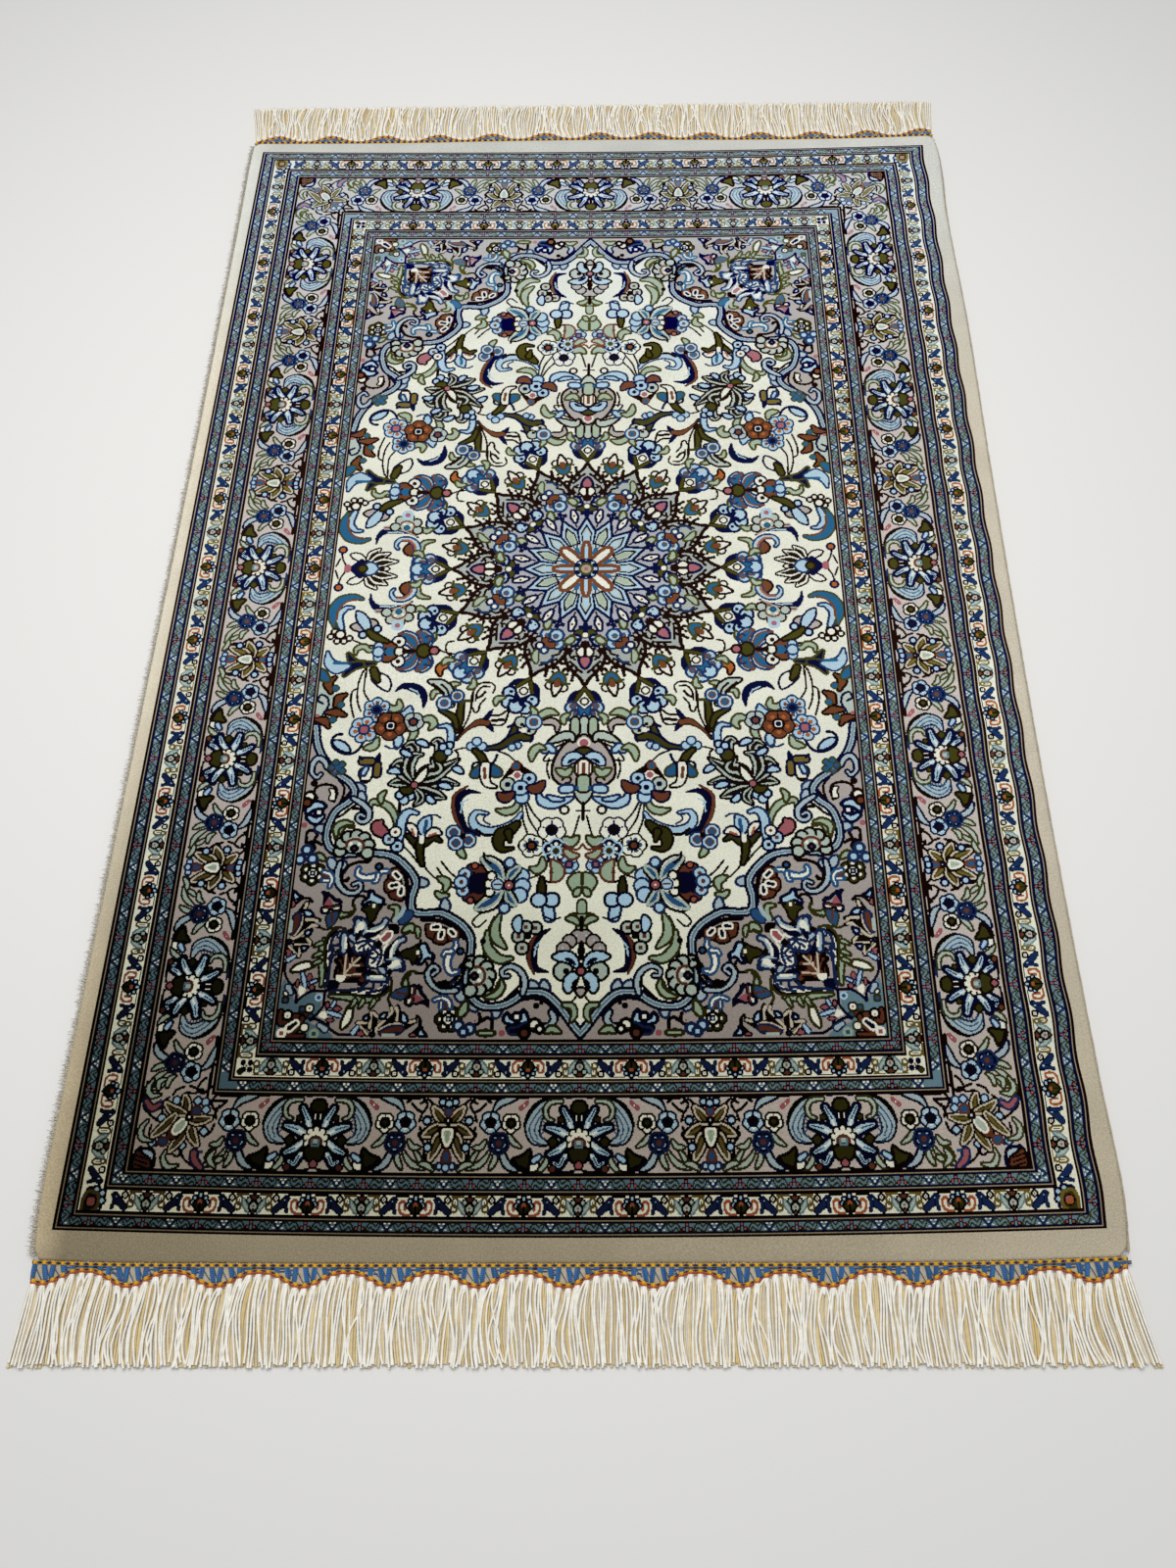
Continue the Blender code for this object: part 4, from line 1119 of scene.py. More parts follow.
def edge_palmette(q):
    """Half a palmette on the field's right edge, with dark petals between ivory lines."""
    for rim in (
        ((273, 437), (280, 436), (285, 440), (291, 448), (295, 454), (288, 449), (281, 442)),
        ((277, 459), (284, 453), (295, 457), (286, 460)), ((287, 464), (295, 460), (289, 470), (286, 475)),
        ((285, 414), (292, 424), (298, 432), (295, 446), (289, 440), (286, 427)),
    ):
        q.area(rim, MOSS)
    for spine in (
        ((269, 435), (275, 433), (283, 434), (286, 443)),
        ((269, 442), (276, 440), (282, 446), (290, 453), (296, 456)), ((281, 452), (275, 459)),
        ((275, 461), (292, 461)), ((286, 464), (286, 474), (292, 469), (298, 463)),
        ((283, 416), (286, 428), (288, 441), (293, 451)),
    ):
        q.line(spine, BROWN, 4.4)
    for spine in (
        ((271, 436), (276, 434.5), (283, 434.6)), ((271, 441), (276, 440.6), (282, 446), (290, 453),
        (296, 455)), ((281, 452.6), (276, 459)), ((276, 461), (291, 461)),
        ((286, 465), (286.4, 473), (292, 468), (297, 463)),
        ((284, 417), (286.6, 428), (288, 441), (293, 451)),
    ):
        q.line(spine, MARGIN, 1.6)
    q.brush(((292, 431), (293, 440), (296, 449)), (5, 5, 2), RUST, STEEL, 1.4)
    q.line(((298, 437), (298, 447)), MINT, 2)
    for rim in (
        ((276, 445), (282, 447), (281, 452), (277, 450)), ((278, 463), (284, 463), (283, 468), (280, 467)),
        ((276, 430), (280, 425), (286, 425), (284, 431)), ((290, 410), (294, 408), (299, 404), (298, 413)),
    ):
        q.area(rim, SKY, NAVY, 1.7)
    q.area(((295, 418), (299, 414), (299, 422)), ROSE, BROWN, 0.8)
    q.area(((293, 469), (299, 466), (298, 474)), ROSE, BROWN, 0.8)
    q.brush(((290, 473), (296, 477)), (2, 4), SKY, STEEL, 1)
    q.line(((279, 415), (282, 412), (289, 412), (295, 417)), BROWN, 2)
    q.dot(297.5, 458, 3.6, NAVY, BROWN, 1)
    q.dot(297.5, 458, 1.6, STEEL)


def olive_rosette(pen):
    rosette(pen, 25, 6, OLIVE, MOSS, NAVY, CHALK)
    pen.dot(0, 0, 8.4, CHALK)
    pen.square(0, 0, 3, NAVY)
    pen.dot(0, 0, 2.2, SKY)


def corner_piece(q):
    """Half of the corner piece: its navy spikes, clouds and rim."""
    for spine in (
        ((201, 435), (203, 439), (209, 443), (218, 444)), ((231, 434), (225, 436), (221, 443), (221, 449)),
        ((229, 436), (231, 445), (236, 449), (247, 450)), ((242, 451), (242, 458), (241, 467)),
        ((230, 456), (235, 452)),
    ):
        q.brush(spine, (3.2, 4, 3.2), MIST, STEEL, 1.7)
    q.line(((203, 441), (210, 445.5), (219, 446)), CHALK, 1.4)
    q.area(((222, 440), (227, 436), (231, 446), (227, 448)), CHALK)
    q.area(((203, 444), (209, 446), (214, 448), (221, 448), (221, 454), (213, 453), (207, 449)), NAVY)
    q.area(((225, 445), (228, 447), (231, 453), (229, 458), (225, 452)), NAVY)
    q.area(((238, 456), (238.5, 464), (236, 471), (232, 471), (233.5, 463)), NAVY)
    q.line(((206, 451), (214, 455), (224, 455.5), (229, 459)), CHALK, 1.5)
    q.line(((240, 453), (239.6, 464)), CHALK, 1.5)
    q.area(((210, 458), (217, 456), (226, 458), (231, 463), (228, 469), (218, 468), (212, 466)), CHALK,
        STEEL, 1.9)
    for spine in (
        ((213, 463), (217, 459), (221, 462), (220, 467)), ((223, 461), (226, 465)), ((216, 464), (217, 468)),
    ):
        q.line(spine, STEEL, 1.6)
    q.dot(222, 459, 2.6, SKY)
    q.dot(229, 461, 2.6, CHALK)
    for u, v, width, height, colour in (
        (235.5, 446, 6, 4, BROWN), (215.5, 440, 7, 4, MOSS), (206, 459.5, 6.4, 6, MOSS),
    ):
        q.lozenge(u, v, width, height, colour, colour, 1)
    # The rim: a jagged blue and white line, a brown line and a sage leaf
    q.brush(((249, 448), (255, 458), (256.5, 470), (256, 486), (257, 504)), (3, 5, 5, 3), CHALK)
    q.line(((249, 449), (253, 453), (255, 461), (256, 467)), STEEL, 1.9)
    q.line(((247, 461), (252, 462), (252, 468), (255, 475)), STEEL, 1.9)
    q.line(((248, 470), (252, 474), (254, 486), (254, 496), (256, 504)), STEEL, 2.1)
    q.line(((250, 446), (256, 451), (259, 459), (258.6, 476), (257, 488), (258.6, 500), (260, 505)), BROWN,
        1.8)
    q.brush(((262, 455), (263.5, 466), (262.5, 478), (260.6, 490), (260, 503)), (1, 3.4, 4, 3, 1), SAGE,
        OLIVE, 1.5)
    for v in (459, 470, 478):
        q.brush(((264, v), (267, v + 1), (271, v + 3.5)), (2.6, 2.2, 0.6), SAGE, OLIVE, 1.3)
    q.line(((249, 443.5), (256, 447), (260.6, 455)), OLIVE, 1.6)
    for spine in (
        ((251, 505), (257, 508.6), (269, 509), (276, 513), (284, 520)),
        ((283, 520), (284, 512), (288, 505), (294, 498), (298, 490), (298, 478)), ((287, 502), (295, 503)),
    ):
        q.brush(spine, (3.2, 3, 3), NAVY)
    q.brush(((289, 511), (293, 505)), (3, 5), MIST, STEEL, 1)


def corner_heart(p):
    """What lies on the corner piece's diagonal: the brown fan and the flowers at both its ends."""
    p.area(((258, 521), (261, 513), (270, 510), (282, 519), (287, 514), (291, 507), (299, 500), (299, 556),
        (245, 556), (254, 545), (266, 541), (260, 534)), SLATE)
    p.area(((188, 439), (193, 438), (198, 439), (196, 446), (191, 449), (186, 448), (186, 442)), BROWN)
    p.area(((193, 447), (199, 446), (202, 450), (205, 453), (203, 458), (199, 458), (194, 453)), ROSE, CHALK,
        1.2)
    p.area(((211, 470), (215, 466), (222, 466), (228, 469), (220, 474), (213, 482), (209, 478)), SAGE)
    p.area(((216, 471), (221, 469), (224, 473), (230, 470), (235, 472), (238, 468), (244, 466), (248, 469),
        (244, 473), (248, 477), (245, 481), (247, 488), (246, 495), (238, 498), (225, 498), (221, 501),
        (216, 500), (213, 497), (218, 492), (216, 488), (219, 485), (215, 482), (219, 478)), RUST, BROWN,
        2.2)
    for spine in (
        ((238, 491), (229, 479), (224, 474)), ((238, 490), (238, 471)), ((238, 492), (222, 491)),
        ((232, 482), (224, 482)), ((233, 484), (232, 475)),
    ):
        p.line(spine, MARGIN, 1.1)
    for spine in (
        ((226, 487), (219, 488)), ((244, 480), (241, 488)), ((222, 495), (232, 495)),
        ((226, 479), (222, 478)), ((220, 473), (225, 479)), ((243, 470), (240, 480)),
        ((219, 484), (226, 485)), ((234, 472), (233, 479)), ((243, 485), (243, 491)),
    ):
        p.line(spine, BROWN, 1.5)
    p.area(((236, 493), (245, 492), (246, 498), (240, 499)), CHALK)
    p.area(((243, 500), (250, 498), (253, 503), (251, 508), (245, 506)), NAVY, NAVY, 1.4)
    p.area(((173, 425), (181, 424), (188, 435), (184, 439), (175, 433)), TEAL, STEEL, 1)
    p.line(((183, 421), (186, 428), (192, 435)), MIST, 2.4)
    p.brush(((269, 532), (277, 535), (284, 534), (290, 538), (296, 541), (297, 529)), (5, 5, 4, 4, 4, 3),
        RUST, BROWN, 1.1)
    p.brush(((275, 536), (277, 543), (283, 549), (292, 553), (272, 553)), (4, 4, 3, 3), RUST, BROWN, 1.1)
    p.brush(((281, 541), (287, 546)), (3.6, 5), NAVY, CHALK, 1.2)
    for u, v, width, colour, line in (
        (290, 533, 7, CHALK, BROWN), (290, 534, 3, SAGE, None), (272, 545, 6, CHALK, OLIVE),
        (269, 526, 6, CHALK, BROWN), (269, 526, 2.6, ROSE, None), (276, 527, 4, TEAL, OLIVE),
        (267, 534, 3.6, TEAL, OLIVE), (294, 518, 4, TEAL, OLIVE), (262, 551, 5, TEAL, SAGE),
        (261, 515, 3.6, TEAL, SKY), (294, 551, 5, ROSE, CHALK), (294, 511, 3.4, CHALK, OLIVE),
    ):
        p.dot(u, v, width, colour, line, 1.4)


def band_and_scrolls(p):
    """The blue band that bounds the corner's grey ground, and the scrolls about it."""
    p.area(BAND + ((310, 212), (310, 570), (-6, 570)), LILAC)
    for spine, width in (
        (((180, 418), (181, 401), (185, 386), (193, 375), (201, 369)), 2.8),
        (((119, 453), (128, 443), (144, 435), (164, 433)), 2.8),
        (((116, 477), (121, 482), (124, 492), (131, 499), (144, 500)), 2.8),
        (((21, 531), (32, 519), (46, 514), (60, 516), (70, 522)), 2.8),
        (((284, 346), (282, 340), (287, 336), (293, 338), (293, 350)), 2.2),
        (((276, 352), (282, 349), (290, 350), (292, 357)), 2.2),
        (((87, 544), (87, 537), (92, 534), (97, 537)), 2.2),
        (((100, 530), (99, 537), (103, 541), (109, 540)), 2.2),
        (((268, 302), (266, 293), (269, 285), (279, 282), (288, 285), (291, 291), (287, 298)), 1.9),
        (((239, 304), (246, 307), (253, 313), (258, 318), (265, 322)), 3),
        (((233, 316), (239, 311), (247, 310)), 2.2), (((252, 292), (258, 301), (265, 312)), 4.4),
        (((266, 276), (259, 285), (259, 295), (262, 305)), 3), (((190, 396), (177, 399)), 1.5),
    ):
        p.line(spine, BROWN, width)
    p.area(((268, 301), (267, 293), (270, 287), (275, 288), (273, 293), (274, 300)), CHALK, BROWN, 1.2)
    for u, v, width in (
        (226, 367, 5.6), (118, 478, 5), (39, 519, 5), (44, 522, 6), (292, 281, 8), (293, 322, 5.6),
        (71, 544, 7), (265, 321, 4.6), (109, 502, 7),
    ):
        p.dot(u, v, width, BROWN)
    for u, v, turn in (
        (36, 503, -15), (47, 503, -30), (83, 527, 190), (107, 521, 150), (123, 506, 140), (141, 418, -5),
        (243, 285, -60), (239, 297, -10), (277, 334, 100), (262, 374, 150), (252, 378, 190), (168, 393, -80),
        (120, 512, 150),
    ):
        leaf(p.at(u, v, turn), ((0, -6), (0, 1), (0, 7)), 7.6, MIST, STEEL, edge=1.7)
    p.brush(BAND, (4.6, 4.6), MIST, NAVY, 1.8)
    p.line(BAND, SLATE, 1.2)
    for spine in (
        ((58, 510), (56, 498), (61, 487), (71, 482), (79, 486), (78, 492), (73, 492)),
        ((248, 298), (238, 304), (230, 312), (229, 321), (235, 326), (241, 322), (239, 317), (234, 319)),
        ((254, 372), (256, 382), (255, 392), (250, 400), (243, 405), (235, 405), (230, 400), (232, 394),
        (238, 396)), ((124, 507), (140, 506), (151, 498), (154, 488), (149, 482), (144, 486), (149, 491)),
        ((280, 262), (284, 254), (291, 251), (296, 258), (296, 268), (290, 274), (286, 270)),
        ((29, 528), (26, 535), (30, 541), (37, 542)),
    ):
        p.brush(spine, (3, 4.4, 4.4, 3.6, 2.6, 2), MIST, NAVY, 1.5)
    for spine in (
        ((60, 493), (61, 501), (68, 509), (76, 516)), ((236, 361.5), (256, 360)), ((113, 484), (112, 501)),
    ):
        p.line(spine, BROWN, 3)
    for u, v, turn in ((241, 356, 184), (107, 492, 268)):
        scalloped(p.at(u, v, turn), 15, 7, 210)


def small_corner_motifs(p):
    """The grey ground's leaves and small flowers."""
    for spine, width in (
        (((172, 446), (175, 441), (182, 446)), 4.6), (((246, 328), (254, 327), (262, 332), (262, 342)), 4.6),
        (((80, 497), (79, 504), (85, 511), (94, 514)), 4.6), (((114, 519), (116, 526), (120, 532)), 6),
        (((271, 369), (278, 365), (285, 370)), 5), (((20, 548), (28, 545), (34, 548)), 4.6),
        (((85, 549), (100, 549)), 3),
    ):
        leaf(p, spine, width, SAGE, OLIVE, edge=1.8)
    p.area(((52, 538), (53, 530), (57, 526), (60, 533), (68, 535), (72, 529), (76, 534), (74, 539),
        (64, 541)), SKY, NAVY, 2.2)
    p.area(((276, 308), (282, 303), (291, 303), (298, 311), (295, 318), (288, 312), (282, 312)), SKY, NAVY,
        2.2)
    p.brush(((279, 320), (285, 325), (293, 321)), (2, 5, 3), SKY, NAVY, 2)
    p.brush(((54, 541), (60, 546), (68, 547)), (3, 5, 4), NAVY, STEEL, 1.5)
    for u, v, width, colour, line in (
        (63, 533, 5, CHALK, NAVY), (283, 315, 5, CHALK, NAVY), (45, 541, 8, CHALK, BROWN),
        (295, 297, 8, CHALK, BROWN), (40, 545, 4, CHALK, BROWN), (47, 544, 3, RUST, None),
        (55, 549, 6, RUST, BROWN), (297, 304, 6, RUST, BROWN), (77, 549, 6, ROSE, None),
        (297, 330, 6, ROSE, None), (287, 356, 4, ROSE, BROWN), (109, 545, 6, SKY, STEEL),
        (120, 542, 6, SKY, STEEL), (115, 548, 5, SKY, STEEL), (291, 358, 6, SKY, STEEL),
        (284, 368, 6, SKY, STEEL), (297, 369, 6, SKY, STEEL), (104, 537, 3, ROSE, None),
    ):
        p.dot(u, v, width, colour, line)
    for u, v in ((264, 258), (271, 256), (275, 262), (263, 266), (271, 268)):
        p.dot(u, v, 5.4, TEAL, OLIVE, 1.2)
    p.dot(268, 262, 6, TEAL)
    p.dot(271, 266, 3, ROSE)


def spandrel(chart):
    """The grey corner piece: its blue band, scrolls and flowers."""
    p = Pen(chart)
    p.bold = BOLD["spandrel"]
    band_and_scrolls(p)
    mirror = p.at(-FOLD, FOLD, 90, flip=-1)
    for q in (p, mirror):
        corner_flowers(q)
    corner_heart(p)
    for q in (p, mirror):
        corner_piece(q)
        edge_palmette(q)
    small_corner_motifs(p)


def side_cluster(p):
    """The rust and teal half flower where the field meets the side border."""
    p.area(((302, 146), (291, 158), (282, 172), (284, 196), (292, 214), (302, 224)), MINT)
    p.line(((292, 216), (298, 226), (297, 240)), STEEL, 2.2)
    for spine in (
        ((283, 149), (290, 157), (286, 168)), ((269, 171), (276, 176), (279, 185)),
        ((267, 197), (277, 194), (288, 194)), ((284, 212), (289, 205), (299, 203)),
    ):
        p.brush(spine, (1.5, 8, 2), RUST, BROWN)
    for u, v in ((281, 163), (273, 184), (280, 203)):
        p.dot(u, v, 6, TEAL, OLIVE, 1.4)
    p.line(((292, 197), (287, 186), (289, 175), (297, 172), (299, 179), (293, 183)), NAVY, 3)
    leaf(p, ((290, 153), (296, 148), (302, 139)), 9, TEAL, OLIVE)
    p.dot(298, 198, 5, ROSE)


def paint_field(chart):
    """The field, from the vines at the bottom to the flowers on top."""
    p = Pen(chart)
    for paint in (vines, field_leaves, large_leaves, side_cluster):
        paint(p)
    spandrel(chart)
    medallion(chart)
    for paint in (vase, axis_pendants, shoulder_spray, white_lily, capped_palmette, sickle_blossoms,
        white_petals, olive_lily, blue_tulip, rosettes, navy_tulip, blue_palmette_aside, small_flowers,
        side_palmette,):
        paint(p)


def paint_quarter():
    chart = np.full(QUARTER[::-1], IVORY, np.uint8)
    paint_field(chart)
    paint_borders(chart)
    return chart


# ---------------------------------------------------------------- the rug's outline, in metres
PILE_TOP = 0.008
SHOULDER = 0.0028  # radius of the pile's upper edge
CORNER_INSET = 0.005
BINDING_WIDTH = 0.003
GAP = 0.0003  # between the pile and the bindings
HEADING_SHALLOW = 0.0065  # depth between the scallops
HEADING_DEEP = 0.0185  # depth at a scallop's point
HEADING_INSET = 0.0035
SCALLOP_PITCH = 0.0793
SCALLOP_SHIFT = 0.0105
SCALLOP_POINTEDNESS = 1.3
FRINGE_REACH = 0.844
LOCKS = 117
TIP_REACH = {-1: (0.5010, 0.5120), 1: (0.5120, 0.5070)}  # of each end's outermost cords, left and right
SIDE_ROWS = np.array((  # y, left and right half widths over the bindings
    (-0.760, 0.4990, 0.5000), (-0.720, 0.5020, 0.5045), (-0.600, 0.5020, 0.5025), (-0.400, 0.5010, 0.4998),
    (-0.100, 0.4996, 0.5000), (0.150, 0.4990, 0.5025), (0.400, 0.5000, 0.5062), (0.600, 0.5010, 0.5045),
    (0.720, 0.5022, 0.5080), (0.762, 0.5015, 0.5050),
))
END_ROWS = np.array((  # x, near and far half lengths of the pile
    (-0.500, 0.7560, 0.7580), (-0.450, 0.7578, 0.7575), (-0.300, 0.7592, 0.7565), (-0.100, 0.7595, 0.7588),
    (0.050, 0.7595, 0.7590), (0.220, 0.7592, 0.7562), (0.400, 0.7575, 0.7575), (0.500, 0.7545, 0.7610),
))


def smooth_column(rows, column, at):
    """A smooth curve through one column of a table, read at places in its first column."""
    places, values = rows[:, 0], rows[:, column]
    slopes = np.gradient(values, places)
    i = np.clip(np.searchsorted(places, at, side="right") - 1, 0, len(rows) - 2)
    span = places[i + 1] - places[i]
    t = np.clip((at - places[i]) / span, 0, 1)
    rise = (1 + 2 * t) * (1 - t) ** 2 * values[i] + t * t * (3 - 2 * t) * values[i + 1]
    swing = t * (1 - t) ** 2 * slopes[i] - t * t * (1 - t) * slopes[i + 1]
    return rise + swing * span


def side_x(side, y):
    """Half the rug's width at y, over the binding of one side."""
    return smooth_column(SIDE_ROWS, 1 if side < 0 else 2, y)


def end_y(end, x):
    """Half the pile's length at x, towards one end."""
    return smooth_column(END_ROWS, 1 if end < 0 else 2, x)


def heading_y(end, x):
    """How far out the scalloped edge of a heading lies."""
    phase = 2 * np.pi * (x - end * SCALLOP_SHIFT) / SCALLOP_PITCH
    swell = (0.5 + 0.5 * np.cos(phase)) ** SCALLOP_POINTEDNESS
    return end_y(end, x) + HEADING_SHALLOW + (HEADING_DEEP - HEADING_SHALLOW) * swell


def heading_span(end):
    """Left and right ends of a heading."""
    y = SIDE_ROWS[0 if end < 0 else -1, 0]
    return HEADING_INSET - side_x(-1, y), side_x(1, y) - HEADING_INSET


# ---------------------------------------------------------------- materials
def linear(code):
    """A colour for a socket, from its usual six-figure code."""
    parts = [int(code[i : i + 2], 16) / 255 for i in (0, 2, 4)]
    return tuple(c / 12.92 if c <= 0.04045 else ((c + 0.055) / 1.055) ** 2.4 for c in parts) + (1.0,)


class Nodes:
    """Builds one material's nodes."""

    def __init__(self, name, roughness, specular=0.3, sheen=0.0, sheen_roughness=0.5):
        self.material = bpy.data.materials.new(name)
        self.material.use_nodes = True
        self.tree = self.material.node_tree
        self.shader = self.tree.nodes["Principled BSDF"]
        self.put(self.shader, {"Roughness": roughness, "Specular IOR Level": specular, "Sheen Weight": sheen,
                               "Sheen Roughness": sheen_roughness})

    def put(self, node, inputs):
        for socket, value in inputs.items():
            if isinstance(value, bpy.types.NodeSocket):
                self.tree.links.new(value, node.inputs[socket])
            else:
                node.inputs[socket].default_value = value

    def add(self, kind, inputs, **settings):
        node = self.tree.nodes.new("ShaderNode" + kind)
        for name, value in settings.items():
            setattr(node, name, value)
        self.put(node, inputs)
        return node

    def math(self, operation, *values):
        return self.add("Math", dict(enumerate(values)), operation=operation).outputs[0]

    def attribute(self, name):
        return self.add("Attribute", {}, attribute_name=name)

    def parts(self, vector):
        return self.add("SeparateXYZ", {0: vector}).outputs

    def place(self, scale=(1000, 1000, 1000)):
        """The place on the rug, in millimetres, stretched by scale."""
        spot = self.add("TexCoord", {}).outputs["Object"]
        return self.add("VectorMath", {0: spot, 1: scale}, operation="MULTIPLY").outputs[0]

    def noise(self, vector, size, detail=2.0, roughness=0.5):
        """Smooth noise from 0 to 1, in patches of about size mm."""
        inputs = {"Vector": vector, "Scale": 1.0 / size, "Detail": detail, "Roughness": roughness}
        return self.add("TexNoise", inputs).outputs[0]

    def spread(self, value, low, high, start=0.3, stop=0.7):
        inputs = {0: value, 1: start, 2: stop, 3: low, 4: high}
        return self.add("MapRange", inputs, clamp=True).outputs[0]

    def smooth(self, value, start, stop):
        """0 before start and 1 after stop."""
        inputs = {0: value, 1: start, 2: stop, 3: 0.0, 4: 1.0}
        return self.add("MapRange", inputs, interpolation_type="SMOOTHSTEP").outputs[0]

    def mix(self, factor, one, other, blend="MIX"):
        node = self.add("Mix", {0: factor, 6: one, 7: other}, data_type="RGBA", blend_type=blend)
        return node.outputs[2]

    def shade(self, colour, *factors):
        """The colour times each factor."""
        for factor in factors:
            grey = self.add("CombineColor", {0: factor, 1: factor, 2: factor}).outputs[0]
            colour = self.mix(1.0, colour, grey, "MULTIPLY")
        return colour

    def finish(self, colour, height=None, depth=0.0, strength=1.0):
        """Joins colour and relief, whose depth is in metres, to the shader."""
        self.put(self.shader, {"Base Color": colour})
        if height is not None:
            bump = self.add("Bump", {"Height": height, "Distance": depth, "Strength": strength})
            self.put(self.shader, {"Normal": bump.outputs[0]})
        return self.material


BLOCK = (4, 8)  # knots in a face, across and along
CODES = 32  # places in the palette, and the base in which a row of four knots is packed into one number
CHANNELS = 4  # rows of knots in one attribute


def palette(n, index):
    """Looks an index up in the dye colours."""
    ramp = n.add("ValToRGB", {0: n.math("MULTIPLY", n.math("ADD", index, 0.5), 1 / CODES)})
    stops = ramp.color_ramp.elements
    ramp.color_ramp.interpolation = "CONSTANT"
    stops.remove(stops[1])
    for k, code in enumerate(DYES.values()):
        stop = stops[0] if k == 0 else stops.new(k / CODES)
        stop.color = linear(code)
    return ramp.outputs[0]


def knot_colour(n, jitter):
    """Reads the chart back from a face: eight rows of four indices, one to a channel of two attributes."""
    wobble = n.add("TexNoise", {"Vector": n.place(), "Scale": 1.3, "Detail": 1.0}).outputs["Color"]
    centred = n.add("VectorMath", {0: wobble, 1: (0.5, 0.5, 0.5)}, operation="SUBTRACT").outputs[0]
    inputs = {0: centred, 1: (jitter,) * 3, 2: n.attribute("in_block").outputs["Vector"]}
    x, y, _ = n.parts(n.add("VectorMath", inputs, operation="MULTIPLY_ADD").outputs[0])
    column = n.math("FLOOR", n.math("MINIMUM", n.math("MAXIMUM", x, 0.0), BLOCK[0] - 0.01))
    row = n.math("FLOOR", n.math("MINIMUM", n.math("MAXIMUM", y, 0.0), BLOCK[1] - 0.01))
    late = n.math("GREATER_THAN", row, CHANNELS - 0.5)
    row = n.math("SUBTRACT", row, n.math("MULTIPLY", late, float(CHANNELS)))
    first, second = n.attribute("knots_a"), n.attribute("knots_b")
    channels = list(n.add("SeparateColor", {0: n.mix(late, first.outputs["Color"],
        second.outputs["Color"])}).outputs)
    step = n.math("SUBTRACT", second.outputs["Alpha"], first.outputs["Alpha"])
    channels.append(n.math("MULTIPLY_ADD", step, late, first.outputs["Alpha"]))
    value = 0.0
    for k, channel in enumerate(channels):
        value = n.math("MULTIPLY_ADD", channel, n.math("COMPARE", row, float(k), 0.5), value)
    for k in range(1, BLOCK[0]):
        here = n.math("GREATER_THAN", column, k - 0.5)
        value = n.math("DIVIDE", value, n.math("MULTIPLY_ADD", here, CODES - 1.0, 1.0))
    return palette(n, n.math("MODULO", n.math("FLOOR", value), float(CODES)))


# Where the pile's painted shade and sheen change, in mm: along the rug from none to all of it, and across it
# from the left
NEAR, CLOSE, FAR, ACROSS = (-50.0, -620.0), (-330.0, -700.0), (200.0, 690.0), (-450.0, 450.0)
# Where a painted highlight lies on the left margin, and where the right side is painted lighter, in mm
LEFT_MARGIN, RIGHT_SIDE = (-500.0, -468.0), (150.0, 450.0)
# What is added there to the dyes' exponent and to their saturation, and what is taken off the far end's, to
# paint shade near and left and sheen at the far end
DEEPER, PALER, DULLER, PAINTED_SHEEN_OFFSET = 1.05, -0.28, -0.2, "343434"
# A painted bluish reflection at the far end, and painted warm shade near the left end
FAR_TINT, CLOSE_TINT = (0.96, 1.03, 1.09, 1.0), (0.82, 0.78, 0.69, 1.0)


def pile_painted_light(n, place):
    """The dyes with painted light and shade: deeper near and left, where the pile is seen against its lie,
    paler at the far end with a painted sheen and a bluish reflection, a painted highlight on the left margin
    and the right side painted lighter.
    """
    x, y, _ = n.parts(place)
    near = n.smooth(y, *NEAR)
    close = n.math("MULTIPLY", n.smooth(y, *CLOSE), n.spread(x, 1.0, 0.45, *ACROSS))
    far = n.smooth(y, *FAR)
    deep = n.math("MULTIPLY", near, n.spread(x, 1.0, 0.22, *ACROSS))
    exponent = n.math("MULTIPLY_ADD", far, PALER, n.math("MULTIPLY_ADD", deep, DEEPER, 1.0))
    shaded_dye = n.add("Gamma", {0: knot_colour(n, 0.55), 1: exponent}).outputs[0]
    dull = n.math("MULTIPLY_ADD", far, DULLER, n.math("MULTIPLY_ADD", deep, DULLER, 1.0))
    shaded_dye = n.add("HueSaturation", {1: dull, 4: shaded_dye}).outputs[0]
    shaded_dye = n.mix(far, shaded_dye, linear(PAINTED_SHEEN_OFFSET), "SUBTRACT")
    for amount, tint in ((far, FAR_TINT), (close, CLOSE_TINT)):
        shaded_dye = n.mix(amount, shaded_dye, n.mix(1.0, shaded_dye, tint, "MULTIPLY"))
    # A painted highlight on the left margin, strongest near the end, and the right side painted lighter
    lift = n.math("MULTIPLY_ADD", close, 0.68, n.math("MULTIPLY_ADD", far, -0.2, 0.50))
    pale = n.math("MULTIPLY", n.spread(x, 1.0, 0.0, *LEFT_MARGIN), lift)
    return n.shade(shaded_dye, n.math("ADD", pale, 1.0), n.spread(x, 1.0, 1.1, *RIGHT_SIDE))


def pile_material():
    """Cut pile: tufts, worn places and streaks along the rows, over the dyes' painted shade and sheen. The
    colour is darker where the tufts' relief is low: partly uneven tone, partly painted shade between the
    tufts.
    """
    n = Nodes("knotted_pile", 0.95, 0.02, 0.05, 0.35)
    place = n.place()
    fine = n.noise(place, 1.1, 1.0)
    tufts = n.noise(place, 2.6, 2.0)
    worn = n.noise(place, 60.0, 3.0)
    bands = n.noise(n.place((50.0, 1000.0, 0.0)), 45.0, 2.0)
    height = n.math("ADD", fine, tufts)
    # fine and tufts darken the colour where the bump is low: painted shade between the tufts, with uneven
    # tone
    spans = ((fine, 0.80, 1.16), (tufts, 0.93, 1.07), (worn, 0.95, 1.05), (bands, 0.96, 1.04))
    factors = [n.spread(*span) for span in spans]
    return n.finish(n.shade(pile_painted_light(n, place), *factors), height, 0.0006, 0.6)


